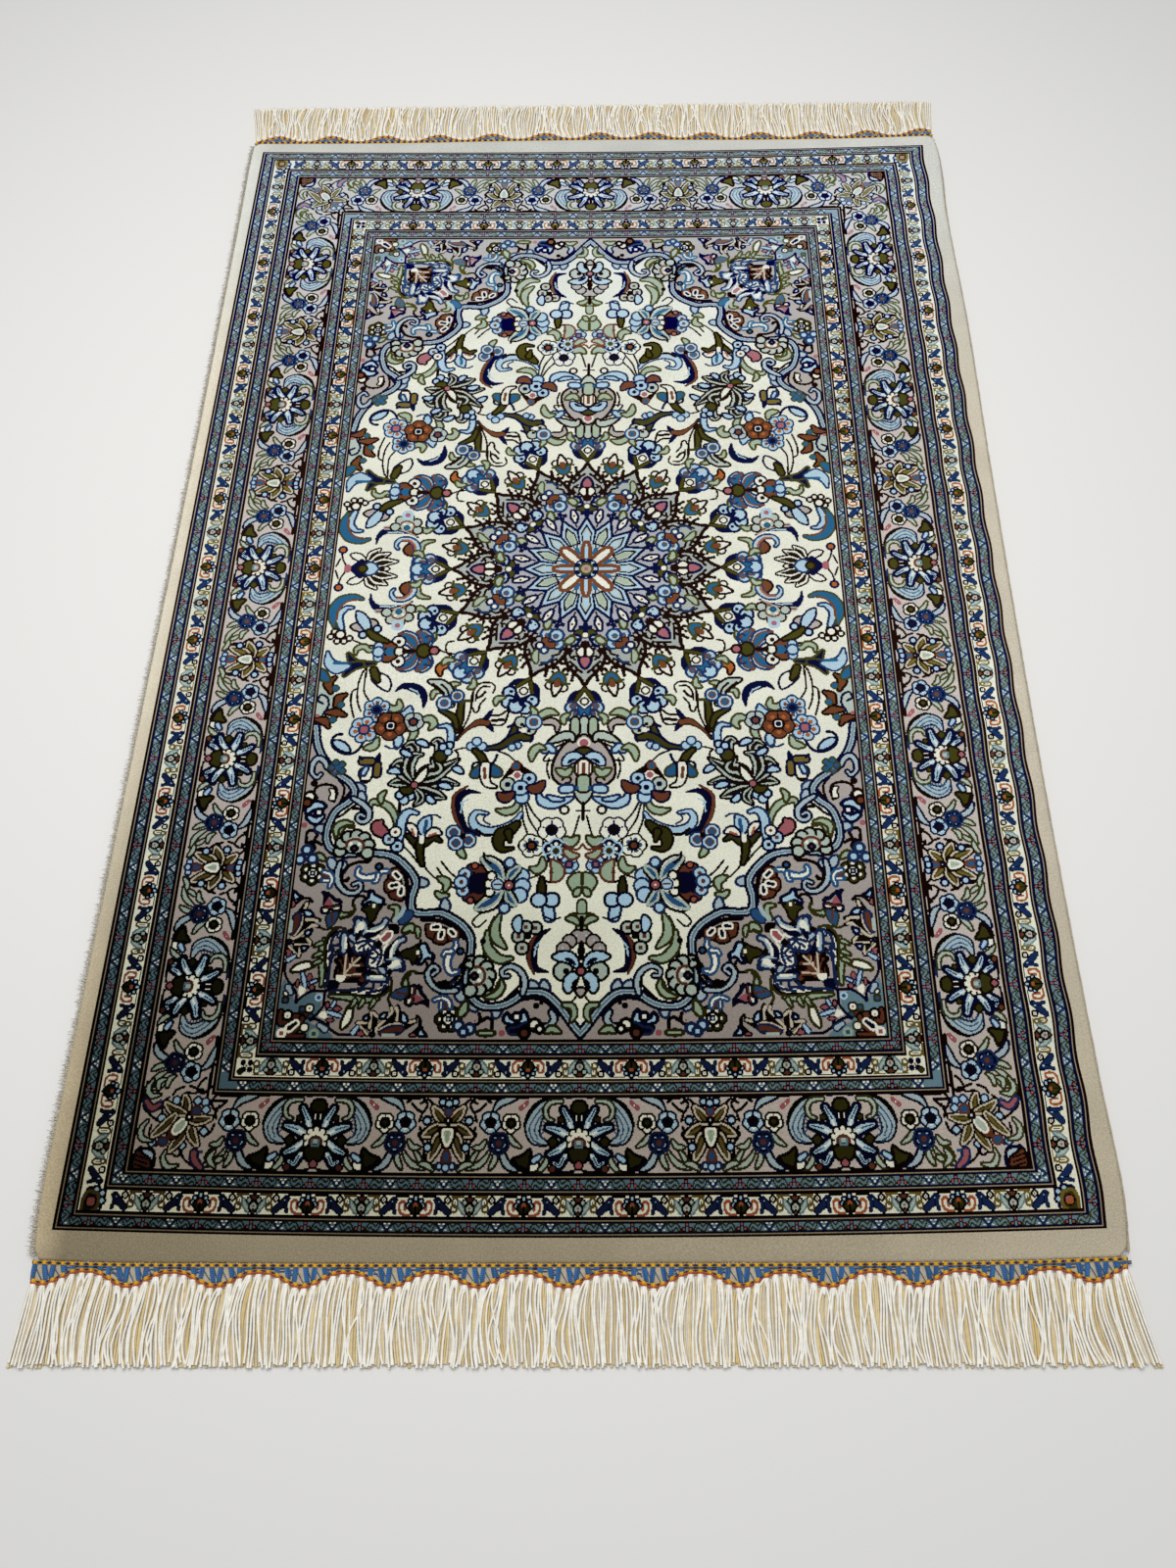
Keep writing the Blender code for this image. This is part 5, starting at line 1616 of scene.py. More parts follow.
def back_material():
    """The knots' backs, in rows between the wefts."""
    n = Nodes("knotted_back", 0.9, 0.2)
    x, y, _ = n.parts(n.place())
    rows = n.math("SINE", n.math("MULTIPLY", y, 2 * math.pi))
    cells = n.math("SINE", n.math("MULTIPLY", x, 2 * math.pi))
    height = n.math("ADD", n.math("MULTIPLY", rows, 0.5), n.math("MULTIPLY", cells, 0.25))
    # The colour is darkened in the grooves between the rows, as painted shade, and varies a little at random
    factors = (n.spread(rows, 0.8, 1.1, -1.0, 1.0), n.spread(n.noise(n.place(), 1.2), 0.88, 1.1))
    return n.finish(n.shade(knot_colour(n, 0.2), *factors), height, 0.0004)


PLY_LEAN = 2.2  # radians from a yarn's side to its middle
THREAD = 5.2  # radians a mm of a tape's weave


def yarn_material(name, colour, shadow, ridges, sheen=0.3, roughness=0.7, groove=0.45, flanks=0.0,
    relief=0.0002):
    """Plied yarn. The attribute strand holds the mm along it, how far to its side, and its own shade."""
    n = Nodes(name, roughness, 0.4, sheen, 0.3)
    along, side, own = n.parts(n.attribute("strand").outputs["Vector"])
    # flanks paints shade and warm reflected light on the yarn's sides, and the ply grooves get painted
    # shade, both mixed towards the shadow colour
    flank = n.math("MULTIPLY", n.math("MULTIPLY", side, side), flanks)
    phase = n.math("MULTIPLY_ADD", along, 2 * math.pi / ridges, n.math("MULTIPLY", side, PLY_LEAN))
    plies = n.math("SINE", phase)
    tone = n.spread(n.noise(n.place(), 5.0), 0.9, 1.06)
    shaded_dye = n.mix(n.spread(plies, groove, 0.0, -1.0, 0.6), linear(colour), linear(shadow))
    shaded_dye = n.mix(n.math("MAXIMUM", own, flank), shaded_dye, linear(shadow))
    return n.finish(n.shade(shaded_dye, tone), plies, relief)


def plain_cloth(name, colour, shadow):
    """A closely woven tape."""
    n = Nodes(name, 0.85, 0.2, 0.2)
    x, y, _ = n.parts(n.place())
    weave = n.math("MULTIPLY", n.math("SINE", n.math("MULTIPLY", x, THREAD)),
        n.math("SINE", n.math("MULTIPLY", y, THREAD)))
    shaded_dye = n.mix(n.spread(weave, 0.0, 0.6, -1.0, 1.0), linear(shadow), linear(colour))
    return n.finish(n.shade(shaded_dye, n.spread(n.noise(n.place(), 3.0), 0.85, 1.08)), weave, 0.0002)


# ---------------------------------------------------------------- meshes
SEEDS = {"rim": 11, "ladder": 20, "cords": 30, "fuzz": 5}  # of the random draws


def new_piece(name, points, faces, material, smooth_faces=True):
    """A mesh that rides on the rug's one body."""
    mesh = bpy.data.meshes.new(name)
    mesh.from_pydata(np.asarray(points).tolist(), [], faces.tolist() if hasattr(faces, "tolist") else faces)
    mesh.materials.append(material)
    mesh.polygons.foreach_set("use_smooth", np.full(len(mesh.polygons), smooth_faces))
    obj = bpy.data.objects.new(name, mesh)
    bpy.context.scene.collection.objects.link(obj)
    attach(obj, "root")
    return obj


def set_attribute(obj, name, kind, domain, values):
    field = "color" if kind == "FLOAT_COLOR" else "vector"
    values = np.ascontiguousarray(values, np.float32)
    obj.data.attributes.new(name, kind, domain).data.foreach_set(field, values.ravel())


BOW, CENTRE = 7.5, 4.0  # mm: the rows bow towards the near end, and the pattern lies a little up the rug
RIPPLE, RIPPLE_PITCH = 1.2, 80.0  # mm: the right side's border waves a little
RIPPLE_FROM, RIPPLE_OVER = 400, 80
NAP = 0.0002  # the pile's slight unevenness
EDGE_SHAKE = 0.0002
FOOT, FOOT_INSET = 0.0025, 0.0003  # where the pile's side turns in above the floor, and how far
BACK_HEIGHT, BACK_INSET = 0.0001, 0.0004


def bow(x):
    """How far the rows lie towards the near end, in mm."""
    return BOW * (1 - (x / HALF[0]) ** 2)


def full_chart():
    """The quarter, mirrored to the whole rug."""
    quarter = paint_quarter()
    half = np.concatenate((quarter[:, ::-1], quarter), 1)
    return np.concatenate((half[::-1], half))


def block_colours(chart):
    """The chart's indices, packed for each block into the eight channels that knot_colour reads."""
    rows, columns = chart.shape
    cells = chart.reshape(rows // BLOCK[1], BLOCK[1], columns // BLOCK[0], BLOCK[0]).astype(float)
    packed = (cells * float(CODES) ** np.arange(BLOCK[0])).sum(3).transpose(0, 2, 1)
    return packed.reshape(-1, BLOCK[1])


def rug_grid(inset):
    """Where the blocks' corners lie in metres, out to inset inside the pile's outline."""
    u = np.arange(-QUARTER[0], QUARTER[0] + 1, BLOCK[0], dtype=float)[None, :]
    v = np.arange(-QUARTER[1], QUARTER[1] + 1, BLOCK[1], dtype=float)[:, None]
    guess = np.broadcast_to(v / 1000, (v.size, u.size))
    edge = np.where(u < 0, side_x(-1, guess), side_x(1, guess)) - BINDING_WIDTH - GAP - inset
    outer = np.clip((np.abs(u) - HALF[0]) / (QUARTER[0] - HALF[0]), 0, 1)
    ripple = RIPPLE * np.sin(2 * np.pi * v / RIPPLE_PITCH) * np.clip((u - RIPPLE_FROM) / RIPPLE_OVER, 0,
        1) * (1 - outer)
    x = (np.clip(u, -HALF[0], HALF[0]) * (1 - outer) + ripple) / 1000 + np.sign(u) * outer * edge
    beyond = np.clip((np.abs(v) - HALF[1]) / (QUARTER[1] - HALF[1]), 0, 1)
    end = np.where(v < 0, -end_y(-1, x), end_y(1, x)) - np.sign(v) * inset
    y = (np.clip(v, -HALF[1], HALF[1]) - bow(1000 * x) + CENTRE) / 1000 * (1 - beyond) + beyond * end
    short = edge - np.abs(x) + np.abs(end) - np.abs(y)
    pull = np.clip(CORNER_INSET - short, 0, None) / 2
    return x - np.sign(x) * pull, y - np.sign(y) * pull


def rim_loop(rows, columns):
    """The numbers of a grid's rim points, anticlockwise."""
    number = np.arange(rows * columns).reshape(rows, columns)
    return np.concatenate((number[0, :-1], number[:-1, -1], number[-1, :0:-1], number[:0:-1, 0]))


def knotted_sheet(name, chart, x, y, z, rings, material, up=True):
    """A sheet with the chart on it, and rings round its rim given as (outwards, height) in metres."""
    rows, columns = x.shape
    points = [np.stack((x, y, z), 2).reshape(-1, 3)]
    number = np.arange(rows * columns).reshape(rows, columns)
    corners = (number[:-1, :-1], number[:-1, 1:], number[1:, 1:], number[1:, :-1])
    faces = [np.stack([c.ravel() for c in corners], 1)]
    rim = rim_loop(rows, columns)
    start = points[0][rim]
    way = np.roll(start, -1, 0) - np.roll(start, 1, 0)
    out = np.stack((way[:, 1], -way[:, 0]), 1)
    out /= np.hypot(*out.T)[:, None]
    draw = np.random.default_rng(SEEDS["rim"])
    for k, (reach, height) in enumerate(rings):
        shake = draw.normal(0, EDGE_SHAKE, len(rim)) * (k > 0)
        ring = np.column_stack((start[:, :2] + out * (reach + shake)[:, None], np.full(len(rim), height)))
        points.append(ring)
        new = rows * columns + k * len(rim) + np.arange(len(rim))
        faces.append(np.stack((rim, new, np.roll(new, -1), np.roll(rim, -1)), 1))
        rim = new
    faces = np.concatenate(faces)
    blocks = block_colours(chart)
    plain = np.full((len(faces) - len(blocks), BLOCK[1]),
        MARGIN * sum(float(CODES) ** k for k in range(BLOCK[0])))
    blocks = np.concatenate((blocks, plain))
    inside = np.tile(((0, 0, 0), (BLOCK[0], 0, 0), (*BLOCK, 0), (0, BLOCK[1], 0)), (len(faces), 1, 1))
    if not up:
        faces, inside = faces[:, ::-1], inside[:, ::-1]
    obj = new_piece(name, np.concatenate(points), faces, material)
    set_attribute(obj, "knots_a", "FLOAT_COLOR", "FACE", blocks[:, :CHANNELS])
    set_attribute(obj, "knots_b", "FLOAT_COLOR", "FACE", blocks[:, CHANNELS:])
    set_attribute(obj, "in_block", "FLOAT_VECTOR", "CORNER", inside)
    return obj


def build_pile(chart):
    """The knotted pile with its rounded edge, and the underside below it."""
    x, y = rug_grid(SHOULDER)
    z = PILE_TOP - NAP + NAP * np.sin(9 * x) * np.sin(7 * y)
    arc = np.radians((30, 60, 90))
    rings = [(SHOULDER * math.sin(a), PILE_TOP - NAP - SHOULDER * (1 - math.cos(a))) for a in arc]
    rings += [(SHOULDER, FOOT), (SHOULDER - FOOT_INSET, 0.0)]
    top = knotted_sheet("pile", chart, x, y, z, rings, pile_material())
    x, y = rug_grid(BACK_INSET)
    z = np.full_like(x, BACK_HEIGHT)
    back = knotted_sheet("back", chart, x, y, z, [(0.0002, 0.0012)], back_material(), up=False)
    return top, back


class Yarns:
    """Gathers round yarns into one mesh."""

    def __init__(self, sides=6):
        self.sides = sides
        self.points = []
        self.faces = []
        self.strand = []
        self.count = 0

    def add(self, path, radius, own=0.0, flat=1.0, along=0.0):
        """One yarn along a path in metres, with a radius for all or each of its points; flat squeezes it."""
        path = np.asarray(path, float)
        n, m = len(path), self.sides
        way = np.gradient(path, axis=0)
        way /= np.linalg.norm(way, axis=1)[:, None]
        across = np.cross(way, (0.0, 0.0, 1.0))
        length = np.linalg.norm(across, axis=1)[:, None]
        across = np.where(length > 1e-6, across / np.maximum(length, 1e-6), (1.0, 0.0, 0.0))
        over = np.cross(across, way)
        a = 2 * np.pi * (np.arange(m) + 0.5) / m
        radius = np.broadcast_to(radius, (n,))[:, None, None]
        ring = across[:, None] * np.cos(a)[None, :, None] + flat * over[:, None] * np.sin(a)[None, :, None]
        self.points.append((path[:, None] + radius * ring).reshape(-1, 3))
        gone = along + 1000 * np.concatenate(([0], np.cumsum(np.linalg.norm(np.diff(path, axis=0), axis=1))))
        own = np.broadcast_to(own, (n,))[:, None]
        info = np.stack(np.broadcast_arrays(gone[:, None], np.cos(a)[None], own), 2)
        self.strand.append(info.reshape(-1, 3))
        number = self.count + np.arange(n * m).reshape(n, m)
        next_one = np.roll(number, -1, 1)
        quads = np.stack((number[:-1], number[1:], next_one[1:], next_one[:-1]), 2)
        self.faces += quads.reshape(-1, 4).tolist()
        self.faces += [number[0].tolist(), number[-1, ::-1].tolist()]
        self.count += n * m

    def build(self, name, material, slot):
        obj = new_piece(name, np.concatenate(self.points), self.faces, material)
        set_attribute(obj, "strand", "FLOAT_VECTOR", "POINT", np.concatenate(self.strand))
        return obj


BINDING_STEPS = (-0.7500, 0.7505, 0.00055)
BINDING_RADIUS, BINDING_HEIGHT = 0.0014, 0.0015
WRAP_PITCH, WRAP_SWELL = 0.0022, 0.00012


def build_binding(name, side, material):
    """A cord along the side edge, overcast with yarn: its width swells at each wrap."""
    y = np.arange(*BINDING_STEPS)
    wrap = np.sin(2 * np.pi * y / WRAP_PITCH)
    radius = BINDING_RADIUS + WRAP_SWELL * wrap
    sway = WRAP_SWELL * np.sin(y * 310) + WRAP_SWELL * np.sin(y * 97)
    x = side * (side_x(side, y) - BINDING_WIDTH / 2 + sway)
    yarns = Yarns(8)
    yarns.add(np.column_stack((x, y, np.full_like(y, BINDING_HEIGHT))), radius)
    obj = yarns.build(name, material, "binding")
    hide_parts("edge_" + name)
    return obj


# ---------------------------------------------------------------- headings
BORDER_LAP = 0.0028  # how far the chains lie over the fringe's roots
TAPE_EDGE = 0.0014  # the tape's thickness at the scallops
RISE = 0.0046  # of the heading, from the scallops up to the pile's edge
TAPE_START, TAPE_TRIM = 0.0003, 0.0010  # the tape's distance from the pile, and how much shallower it is
END_LOCK = 0.0029  # from a heading's end to its last lock
GOLD_OUT, GOLD_IN = 0.0017, -0.0034  # the gold chains: out from the pile, and in from the scallops
RUST_IN, WHITE_IN = -0.0013, -0.0001
FAR_HEAVIER = 1.35  # the far end's chains against the near end's
# Reach and radius of the dark wraps on each gold chain, at the near and the far end
WRAPS = {-1: ((0.17, 0.0014), (0.10, 0.0011)), 1: ((0.30, 0.0018), (0.16, 0.0016))}
LADDER_TOP, LADDER_FOOT = 0.0026, 0.0040  # the blue yarn's ends: out from the pile, in from the scallops
LADDER_LOW, LADDER_GROWS = 0.0105, 0.0080  # from this depth on the yarns lean, wholly so after another
LADDER_YARNS = (-1.5, -0.5, 0.5, 1.5)


def lock_places(end):
    """Where the fringe's locks hang."""
    left, right = heading_span(end)
    return np.linspace(left + END_LOCK, right - END_LOCK, LOCKS)


def spaced(end, steps):
    """Places along the heading, a number of steps to a lock."""
    left, right = heading_span(end)
    return np.linspace(left, right, round((LOCKS - 1) * steps) + 1)


def tape_depth(end, x):
    """From the pile to the outer edge of the chains."""
    return heading_y(end, x) - end_y(end, x) + BORDER_LAP


def tape_place(end, x, out):
    """y and height of the tape's top, out metres from the pile."""
    out = np.broadcast_to(out, np.shape(x))
    return end * (end_y(end, x) + out), TAPE_EDGE + RISE * np.clip(1 - out / tape_depth(end, x), 0, 1)


def bead(end, x):
    """1 at each lock, 0 between."""
    roots = lock_places(end)
    return (0.5 + 0.5 * np.cos(2 * np.pi * (x - roots[0]) / (roots[1] - roots[0]))) ** 3


def add_chain(yarns, end, out, thin, thick, wide, loop_shade=None):
    """A beaded chain, out from the pile or in from the scallops: two yarns that part between the beads."""
    x = spaced(end, 10)
    meet = bead(end, x)
    radius = thin + (thick - thin) * meet
    middle = out if out > 0 else tape_depth(end, x) + out
    for side in (-1, 1):
        y, z = tape_place(end, x, middle + side * (wide * (1 - meet) + 0.25 * radius * meet))
        # The yarns are painted darker where they part between the beads, as shade
        yarns.add(np.column_stack((x, y, z + 0.5 * radius)), radius, 0.35 * (1 - meet))
    # A dark rust yarn under the chain paints the shade in its loops
    if loop_shade:
        y, z = tape_place(end, x, middle)
        loop_shade.add(np.column_stack((x, y, z)), wide, 1.0)


def add_wraps(yarns, end, out, reach, radius):
    """The dark yarn that shows between the beads of a gold chain."""
    roots = lock_places(end)
    x = roots[:-1, None] + (roots[1] - roots[0]) * np.array((0.5 - reach, 0.5, 0.5 + reach))
    for gap in x:
        middle = out if out > 0 else tape_depth(end, gap) + out
        y, z = tape_place(end, gap, middle)
        yarns.add(np.column_stack((gap, y, z + 0.6 * radius)), radius * np.array((0.65, 1.0, 0.65)), 1.0)


def add_blue(yarns, end, i, draw):
    """The blue yarn under one bead: a leaning bundle, dark strands beside it, one across to the next."""
    roots = lock_places(end)
    place, pitch = roots[i], roots[1] - roots[0]
    depth = tape_depth(end, place)
    top, bottom = LADDER_TOP, depth - LADDER_FOOT
    steep = np.clip((depth - LADDER_LOW) / LADDER_GROWS, 0, 1)
    lean = (0.0024 if i % 2 else -0.0016) * steep
    t = np.linspace(0, 1, 5)

    def strand(x0, x1, radius, own, lift=0.0):
        x = x0 + (x1 - x0) * t + draw.normal(0, 0.00010)
        y, z = tape_place(end, x, top + (bottom - top) * t)
        z = z + lift + 0.0008 * np.sin(np.pi * t) + draw.uniform(0, 0.0003)
        yarns.add(np.column_stack((x, y, z)), radius, own)

    for k in LADDER_YARNS:
        strand(place + k * 0.00125, place + lean + k * 0.00095, 0.00070, draw.uniform(0, 0.55))
    dark = 1.0 - 0.7 * steep
    if steep < 0.85:
        for k in (0.3, 0.7):
            x = place + (0.5 + 0.5 * (t - 0.5)) * pitch
            y, z = tape_place(end, x, top + (bottom - top) * k)
            yarns.add(np.column_stack((x, y, z)), 0.00075, dark)
    if steep > 0.3 and i + 1 < LOCKS:
        strand(place + 0.5 * lean, place + pitch - 0.0012, 0.00042, 0.5, 0.0004)


def build_tape(end, suffix, material):
    """The cream tape under the crochet, a closed strip on the floor."""
    x = spaced(end, 3)
    rows = []
    for share, on_floor in ((0.0, True), (0.0, False), (1.0, False), (1.0, True)):
        y, z = tape_place(end, x, TAPE_START + share * (tape_depth(end, x) - TAPE_TRIM))
        rows.append(np.column_stack((x, y, 0.0 * z if on_floor else z)))
    n = len(x)
    faces = []
    for k in range(4):
        a = k * n + np.arange(n - 1)
        b = (k + 1) % 4 * n + np.arange(n - 1)
        faces += np.stack((a, a + 1, b + 1, b) if end > 0 else (a, b, b + 1, a + 1), 1).tolist()
    caps = [[k * n for k in range(4)], [k * n + n - 1 for k in (3, 2, 1, 0)]]
    faces += caps if end > 0 else [c[::-1] for c in caps]
    tape = new_piece("tape" + suffix, np.concatenate(rows), faces, material, False)
    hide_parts("heading" + suffix)
    return tape


def build_heading(end, suffix, materials):
    """The tape and its crochet: gold, rust and white chains, and the blue yarns between them."""
    pieces = [build_tape(end, suffix, materials["tape"])]
    gold, rust, blue, white = Yarns(), Yarns(), Yarns(), Yarns()
    heavy = FAR_HEAVIER if end > 0 else 1.0
    add_chain(gold, end, GOLD_OUT, 0.00055 * heavy, 0.00140 * heavy, 0.00110, rust)
    add_chain(gold, end, GOLD_IN, 0.00055 * heavy, 0.00145 * heavy, 0.00090, rust)
    add_chain(rust, end, RUST_IN, 0.00090 * heavy, 0.00135 * heavy, 0.00050)
    add_chain(white, end, WHITE_IN, 0.00050, 0.00070, 0.00030)
    draw = np.random.default_rng(SEEDS["ladder"] + end)
    for i in range(LOCKS):
        add_blue(blue, end, i, draw)
    for out, (reach, radius) in zip((GOLD_OUT, GOLD_IN), WRAPS[end]):
        add_wraps(blue, end, out, reach, radius)
    for yarns, name in (
        (gold, "gold_chain"), (rust, "rust_chain"), (blue, "blue_ladder"), (white, "white_chain"),
    ):
        pieces.append(yarns.build(name + suffix, materials[name.split("_")[0]], "crochet"))
    return pieces


# ---------------------------------------------------------------- fringe
LOWER, UPPER = 4, 3  # cords in each lock
CORD_RADIUS = 0.00105
HEAD_WIDTH = {False: 0.0026, True: 0.0034}  # lower and upper layer
LOCK_WIDTH = {False: 0.0078, True: 0.0058}
OPENING = {False: 16, True: 5}  # how soon a lock opens to its full width
CORD_STEPS = np.array((0.0, 0.02, 0.05, 0.10, 0.18, 0.30, 0.44, 0.58, 0.72, 0.86, 0.985, 1.0))
CORD_SWELL = np.array((0.70, 0.85, 0.95, 1.0, 1.0, 1.0, 1.0, 1.0, 1.0, 1.0, 1.1, 1.5))
KNOT_STEPS = np.array((-0.0006, 0.0002, 0.0014, 0.0032, 0.0052, 0.0070))
KNOT_RADII = np.array((0.0010, 0.0021, 0.0027, 0.0025, 0.0019, 0.0010))
STRAYS = 0.12  # of the upper cords
KNOT_HEIGHT = 0.0024
ROOT_HEIGHT, ROOT_LAP = 0.0026, 0.0004  # of the cords at the white chain, and how far they start inside it
FAN, FAN_INSET = 0.022, 0.0030  # m in which the end locks' fanning out fades, and the room at their tips
LEAN, LEAN_PITCH = 0.0020, 0.103  # of neighbouring locks together
SWAY, SWAY_PITCH, SWAY_LEFT = 0.0024, 0.076, -0.0022
CALM = 0.012  # m from an end in which the swaying fades
UNEVEN = 0.005  # m that a cord may be short of the fringe's reach


def build_fringe(end, suffix, material):
    """Cords that hang together in locks from the white chain and lie on the floor in two layers."""
    draw = np.random.default_rng(SEEDS["cords"] + end)
    roots = lock_places(end)
    reach_left, reach_right = TIP_REACH[end]
    fan = -(reach_left - FAN_INSET + roots[0]) * np.exp((roots[0] - roots) / FAN)
    fan += (reach_right - FAN_INSET - roots[-1]) * np.exp((roots - roots[-1]) / FAN)
    lean = LEAN * np.sin(2 * np.pi * roots / LEAN_PITCH + end) + fan
    sway = SWAY_LEFT + SWAY * np.sin(2 * np.pi * roots / SWAY_PITCH + 2 * end)
    inside = 1 - np.exp(-np.minimum(roots - roots[0], roots[-1] - roots) / CALM)
    t = CORD_STEPS
    yarns = Yarns()
    for i, x in enumerate(roots):
        start = heading_y(end, x) + BORDER_LAP - ROOT_LAP
        bunch = draw.normal(0, 0.0016), draw.normal(0, 0.0016), draw.normal(0, 0.0012)
        layer = draw.uniform(0, 0.0009)
        knot_x = np.full(6, x) + lean[i] * 0.03
        knot = np.column_stack((knot_x, end * (start + KNOT_STEPS), np.full(6, KNOT_HEIGHT)))
        yarns.add(knot, KNOT_RADII, 0.0, 0.8)
        for k in range(LOWER + UPPER):
            upper = k >= LOWER
            share = (k - LOWER) / (UPPER - 1) - 0.5 if upper else k / (LOWER - 1) - 0.5
            loose = (1.0 if upper else 0.3) * inside[i]
            stray = 3.0 if upper and draw.random() < STRAYS else 1.0
            length = FRINGE_REACH - draw.uniform(0, UNEVEN) - start
            bent = [loose * (b + stray * draw.normal(0, 0.0009)) for b in bunch]
            gather = 1 - np.exp(-t * OPENING[upper])
            spread = share * (HEAD_WIDTH[upper] + (LOCK_WIDTH[upper] - HEAD_WIDTH[upper]) * gather)
            belly = sway[i] * inside[i] + bent[1]
            px = x + spread + (lean[i] + bent[0]) * t**1.3 + belly * np.sin(np.pi * t)
            px += bent[2] * np.sin(2 * np.pi * t)
            rest = CORD_RADIUS * (2.5 if upper else 1.0) + upper * layer
            pz = rest + (ROOT_HEIGHT - rest) * np.exp(-t * 14)
            pz = np.maximum(pz, CORD_RADIUS * CORD_SWELL)
            # The lower cords are painted in shade and warm reflected light under the upper ones; the upper
            # ones vary a little at random
            own = draw.random() * 0.06 if upper else 0.55 + draw.random() * 0.45
            path = np.column_stack((px, end * (start + length * t), pz))
            yarns.add(path, CORD_RADIUS * CORD_SWELL, own)
    obj = yarns.build("cords" + suffix, material, "fringe")
    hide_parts("fringe" + suffix)
    return obj


FUZZ = ((-1, 0.0004, 0.0055), (-1, 0.0007, 0.0090), (1, 0.0013, 0.0022))  # side, step and tufts' length
END_FUZZ_STEP, END_FUZZ_LENGTH = 0.0011, 0.0026


def build_fuzz(material):
    """Loose pile that leans out over the rug's edges, thickest on the left."""
    draw = np.random.default_rng(SEEDS["fuzz"])
    points, faces = [], []

    def tuft(x, y, way, length, low, thick=1.0):
        """A bent blade from the pile's top down to low."""
        side = np.array((-way[1], way[0], 0.0))
        base = np.array((x, y, PILE_TOP - 0.0012 - draw.uniform(0, 0.002)))
        bend = base + np.array((*way, 0.15)) * length * 0.5
        tip = np.array((x + way[0] * length, y + way[1] * length, low))
        n = len(points)
        wide = draw.uniform(0.0004, 0.0007) * thick
        points.extend((base - side * wide, base + side * wide, base - (0, 0, 1.2 * wide),
            bend - side * wide * 0.8, bend + side * wide * 0.8, bend - (0, 0, wide), tip))
        for a, b in ((0, 1), (1, 2), (2, 0)):
            faces.append((n + a, n + b, n + b + 3, n + a + 3))
            faces.append((n + a + 3, n + b + 3, n + 6))

    for side, step, length in FUZZ:
        for y in np.arange(-0.752, 0.753, step):
            way = np.array((side, draw.normal(0, 0.35)))
            x = side * (side_x(side, y) - BINDING_WIDTH - GAP - draw.uniform(0.0002, 0.0022))
            low = PILE_TOP - draw.uniform(0.001, 0.006)
            tuft(x, y, way / np.hypot(*way), length * draw.uniform(0.5, 1.15), low, 1.0 if side > 0 else 0.8)
    for end in (-1, 1):
        left, right = heading_span(end)
        for x in np.arange(left, right, END_FUZZ_STEP):
            way = np.array((draw.normal(0, 0.4), end))
            y = end * (end_y(end, x) - draw.uniform(0.0002, 0.0018))
            length = END_FUZZ_LENGTH * draw.uniform(0.5, 1.2)
            tuft(x, y, way / np.hypot(*way), length, PILE_TOP - draw.uniform(0.002, 0.006))
    return new_piece("loose_pile", points, faces, material)


# ---------------------------------------------------------------- the scene
FLOOR_SIZE, FLOOR_HEIGHT, FLOOR_COLOUR = 6.0, -0.0004, "e7e6e4"
SKY_COLOUR, SKY_STRENGTH = (0.93, 0.96, 1.0, 1.0), 0.39
LAMP_WIDTH, LAMP_LENGTH, LAMP_POWER = 1.5, 1.8, 41.5
LAMP_COLOUR = (1.0, 0.985, 0.955)
LAMP_PLACE, LAMP_AIM = (-0.14, 0.20, 2.2), (0, 0.1, 0)


def build_floor():
    mesh = bpy.data.meshes.new("floor")
    corners = [(FLOOR_SIZE * x, FLOOR_SIZE * y, FLOOR_HEIGHT) for x,
        y in ((-1, -1), (1, -1), (1, 1), (-1, 1))]
    mesh.from_pydata(corners, [], [(0, 1, 2, 3)])
    obj = bpy.data.objects.new("floor", mesh)
    bpy.context.scene.collection.objects.link(obj)
    n = Nodes("floor", 0.6, 0.2)
    mesh.materials.append(n.finish(linear(FLOOR_COLOUR)))


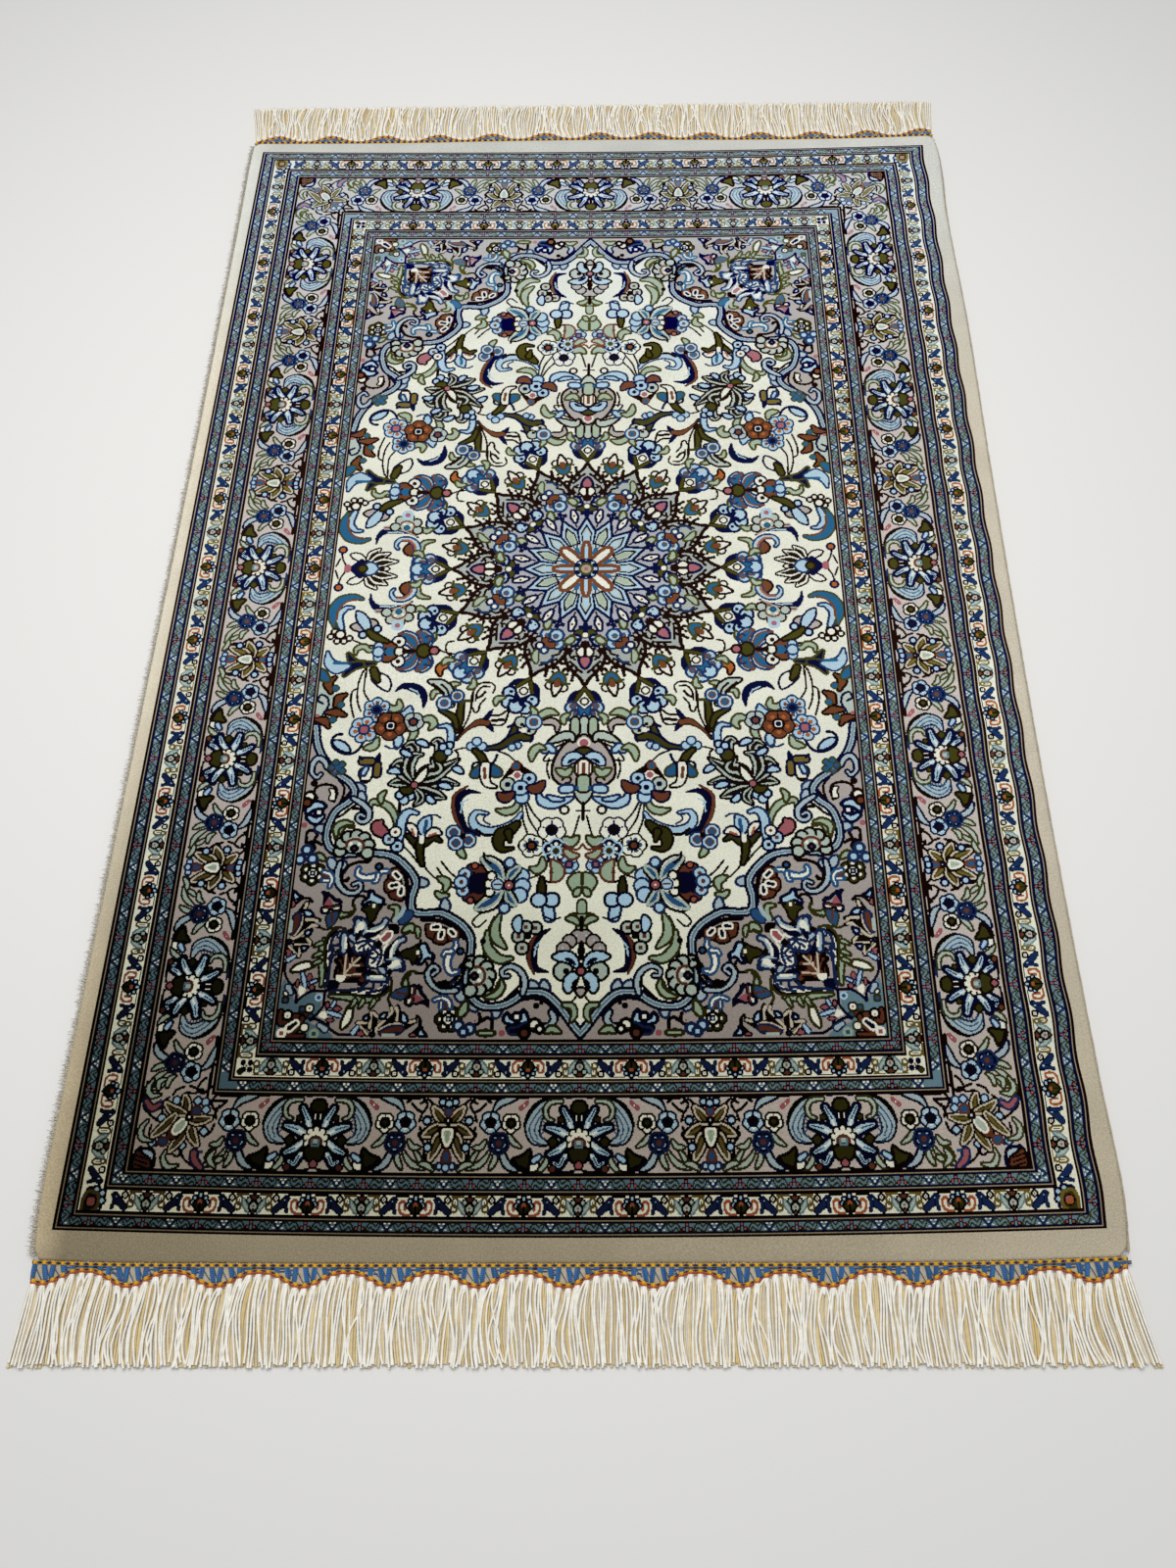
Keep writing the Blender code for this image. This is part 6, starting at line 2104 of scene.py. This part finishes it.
def build_lights():
    world = bpy.data.worlds.new("studio")
    world.use_nodes = True
    sky = world.node_tree.nodes["Background"].inputs
    sky[0].default_value = SKY_COLOUR
    sky[1].default_value = SKY_STRENGTH
    bpy.context.scene.world = world
    light = bpy.data.lights.new("window", "AREA")
    light.shape = "RECTANGLE"
    light.size = LAMP_WIDTH
    light.size_y = LAMP_LENGTH
    light.energy = LAMP_POWER
    light.color = LAMP_COLOUR
    lamp = bpy.data.objects.new("window", light)
    lamp.location = LAMP_PLACE
    lamp.rotation_euler = (Vector(LAMP_AIM) - lamp.location).to_track_quat("-Z", "Y").to_euler()
    bpy.context.scene.collection.objects.link(lamp)


CAMERA_PLACE = (0.0474, -0.7794, 1.0944)
CAMERA_YAW, CAMERA_TILT, CAMERA_ROLL = 0.0218, 0.4276, -0.0250
CAMERA_LENS = 25.369
CAMERA_SHIFT = -0.01866  # the photo's framing lies a little right of the lens axis


def build_camera():
    data = bpy.data.cameras.new("camera")
    data.lens = CAMERA_LENS
    data.sensor_width = 36.0
    data.shift_x = CAMERA_SHIFT
    camera = bpy.data.objects.new("camera", data)
    yaw, tilt = Matrix.Rotation(CAMERA_YAW, 4, "Z"), Matrix.Rotation(CAMERA_TILT, 4, "X")
    roll = Matrix.Rotation(CAMERA_ROLL, 4, "Z")
    camera.matrix_world = Matrix.Translation(CAMERA_PLACE) @ (yaw @ tilt @ roll)
    bpy.context.scene.collection.objects.link(camera)
    bpy.context.scene.camera = camera


def main():
    bpy.context.scene.view_settings.view_transform = "Standard"
    build_camera()
    build_floor()
    build_lights()
    top, back = build_pile(full_chart())
    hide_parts("rug")
    cream = yarn_material("overcast_yarn", "cdbfa2", "7d6c50", 2.2)
    bindings = [build_binding("binding_left", -1, cream), build_binding("binding_right", 1, cream)]
    materials = {
        "tape": plain_cloth("tape", "efe6d2", "c0b090"),
        "gold": yarn_material("gold_yarn", "f2b81c", "8a5412", 2.4, relief=0.0001),
        "rust": yarn_material("rust_yarn", "cc5f34", "4a2414", 2.4, relief=0.0001),
        "blue": yarn_material("blue_yarn", "3f82c4", "10284f", 1.6),
        "white": yarn_material("white_yarn", "f4efe6", "b5a68c", 2.4),
    }
    cord = yarn_material("fringe_cord", "fffffb", "dfc584", 1.1, 0.6, 0.4, 0.2, 0.45, 0.00006)
    fuzz = build_fuzz(plain_cloth("loose_pile", "f0eadc", "d9cfba"))
    on_ends = []
    for end, suffix in ((-1, "_near"), (1, "_far")):
        on_ends += build_heading(end, suffix, materials)
        on_ends.append(build_fringe(end, suffix, cord))


main()
cad_box = [list(corner) for corner in cad_box]
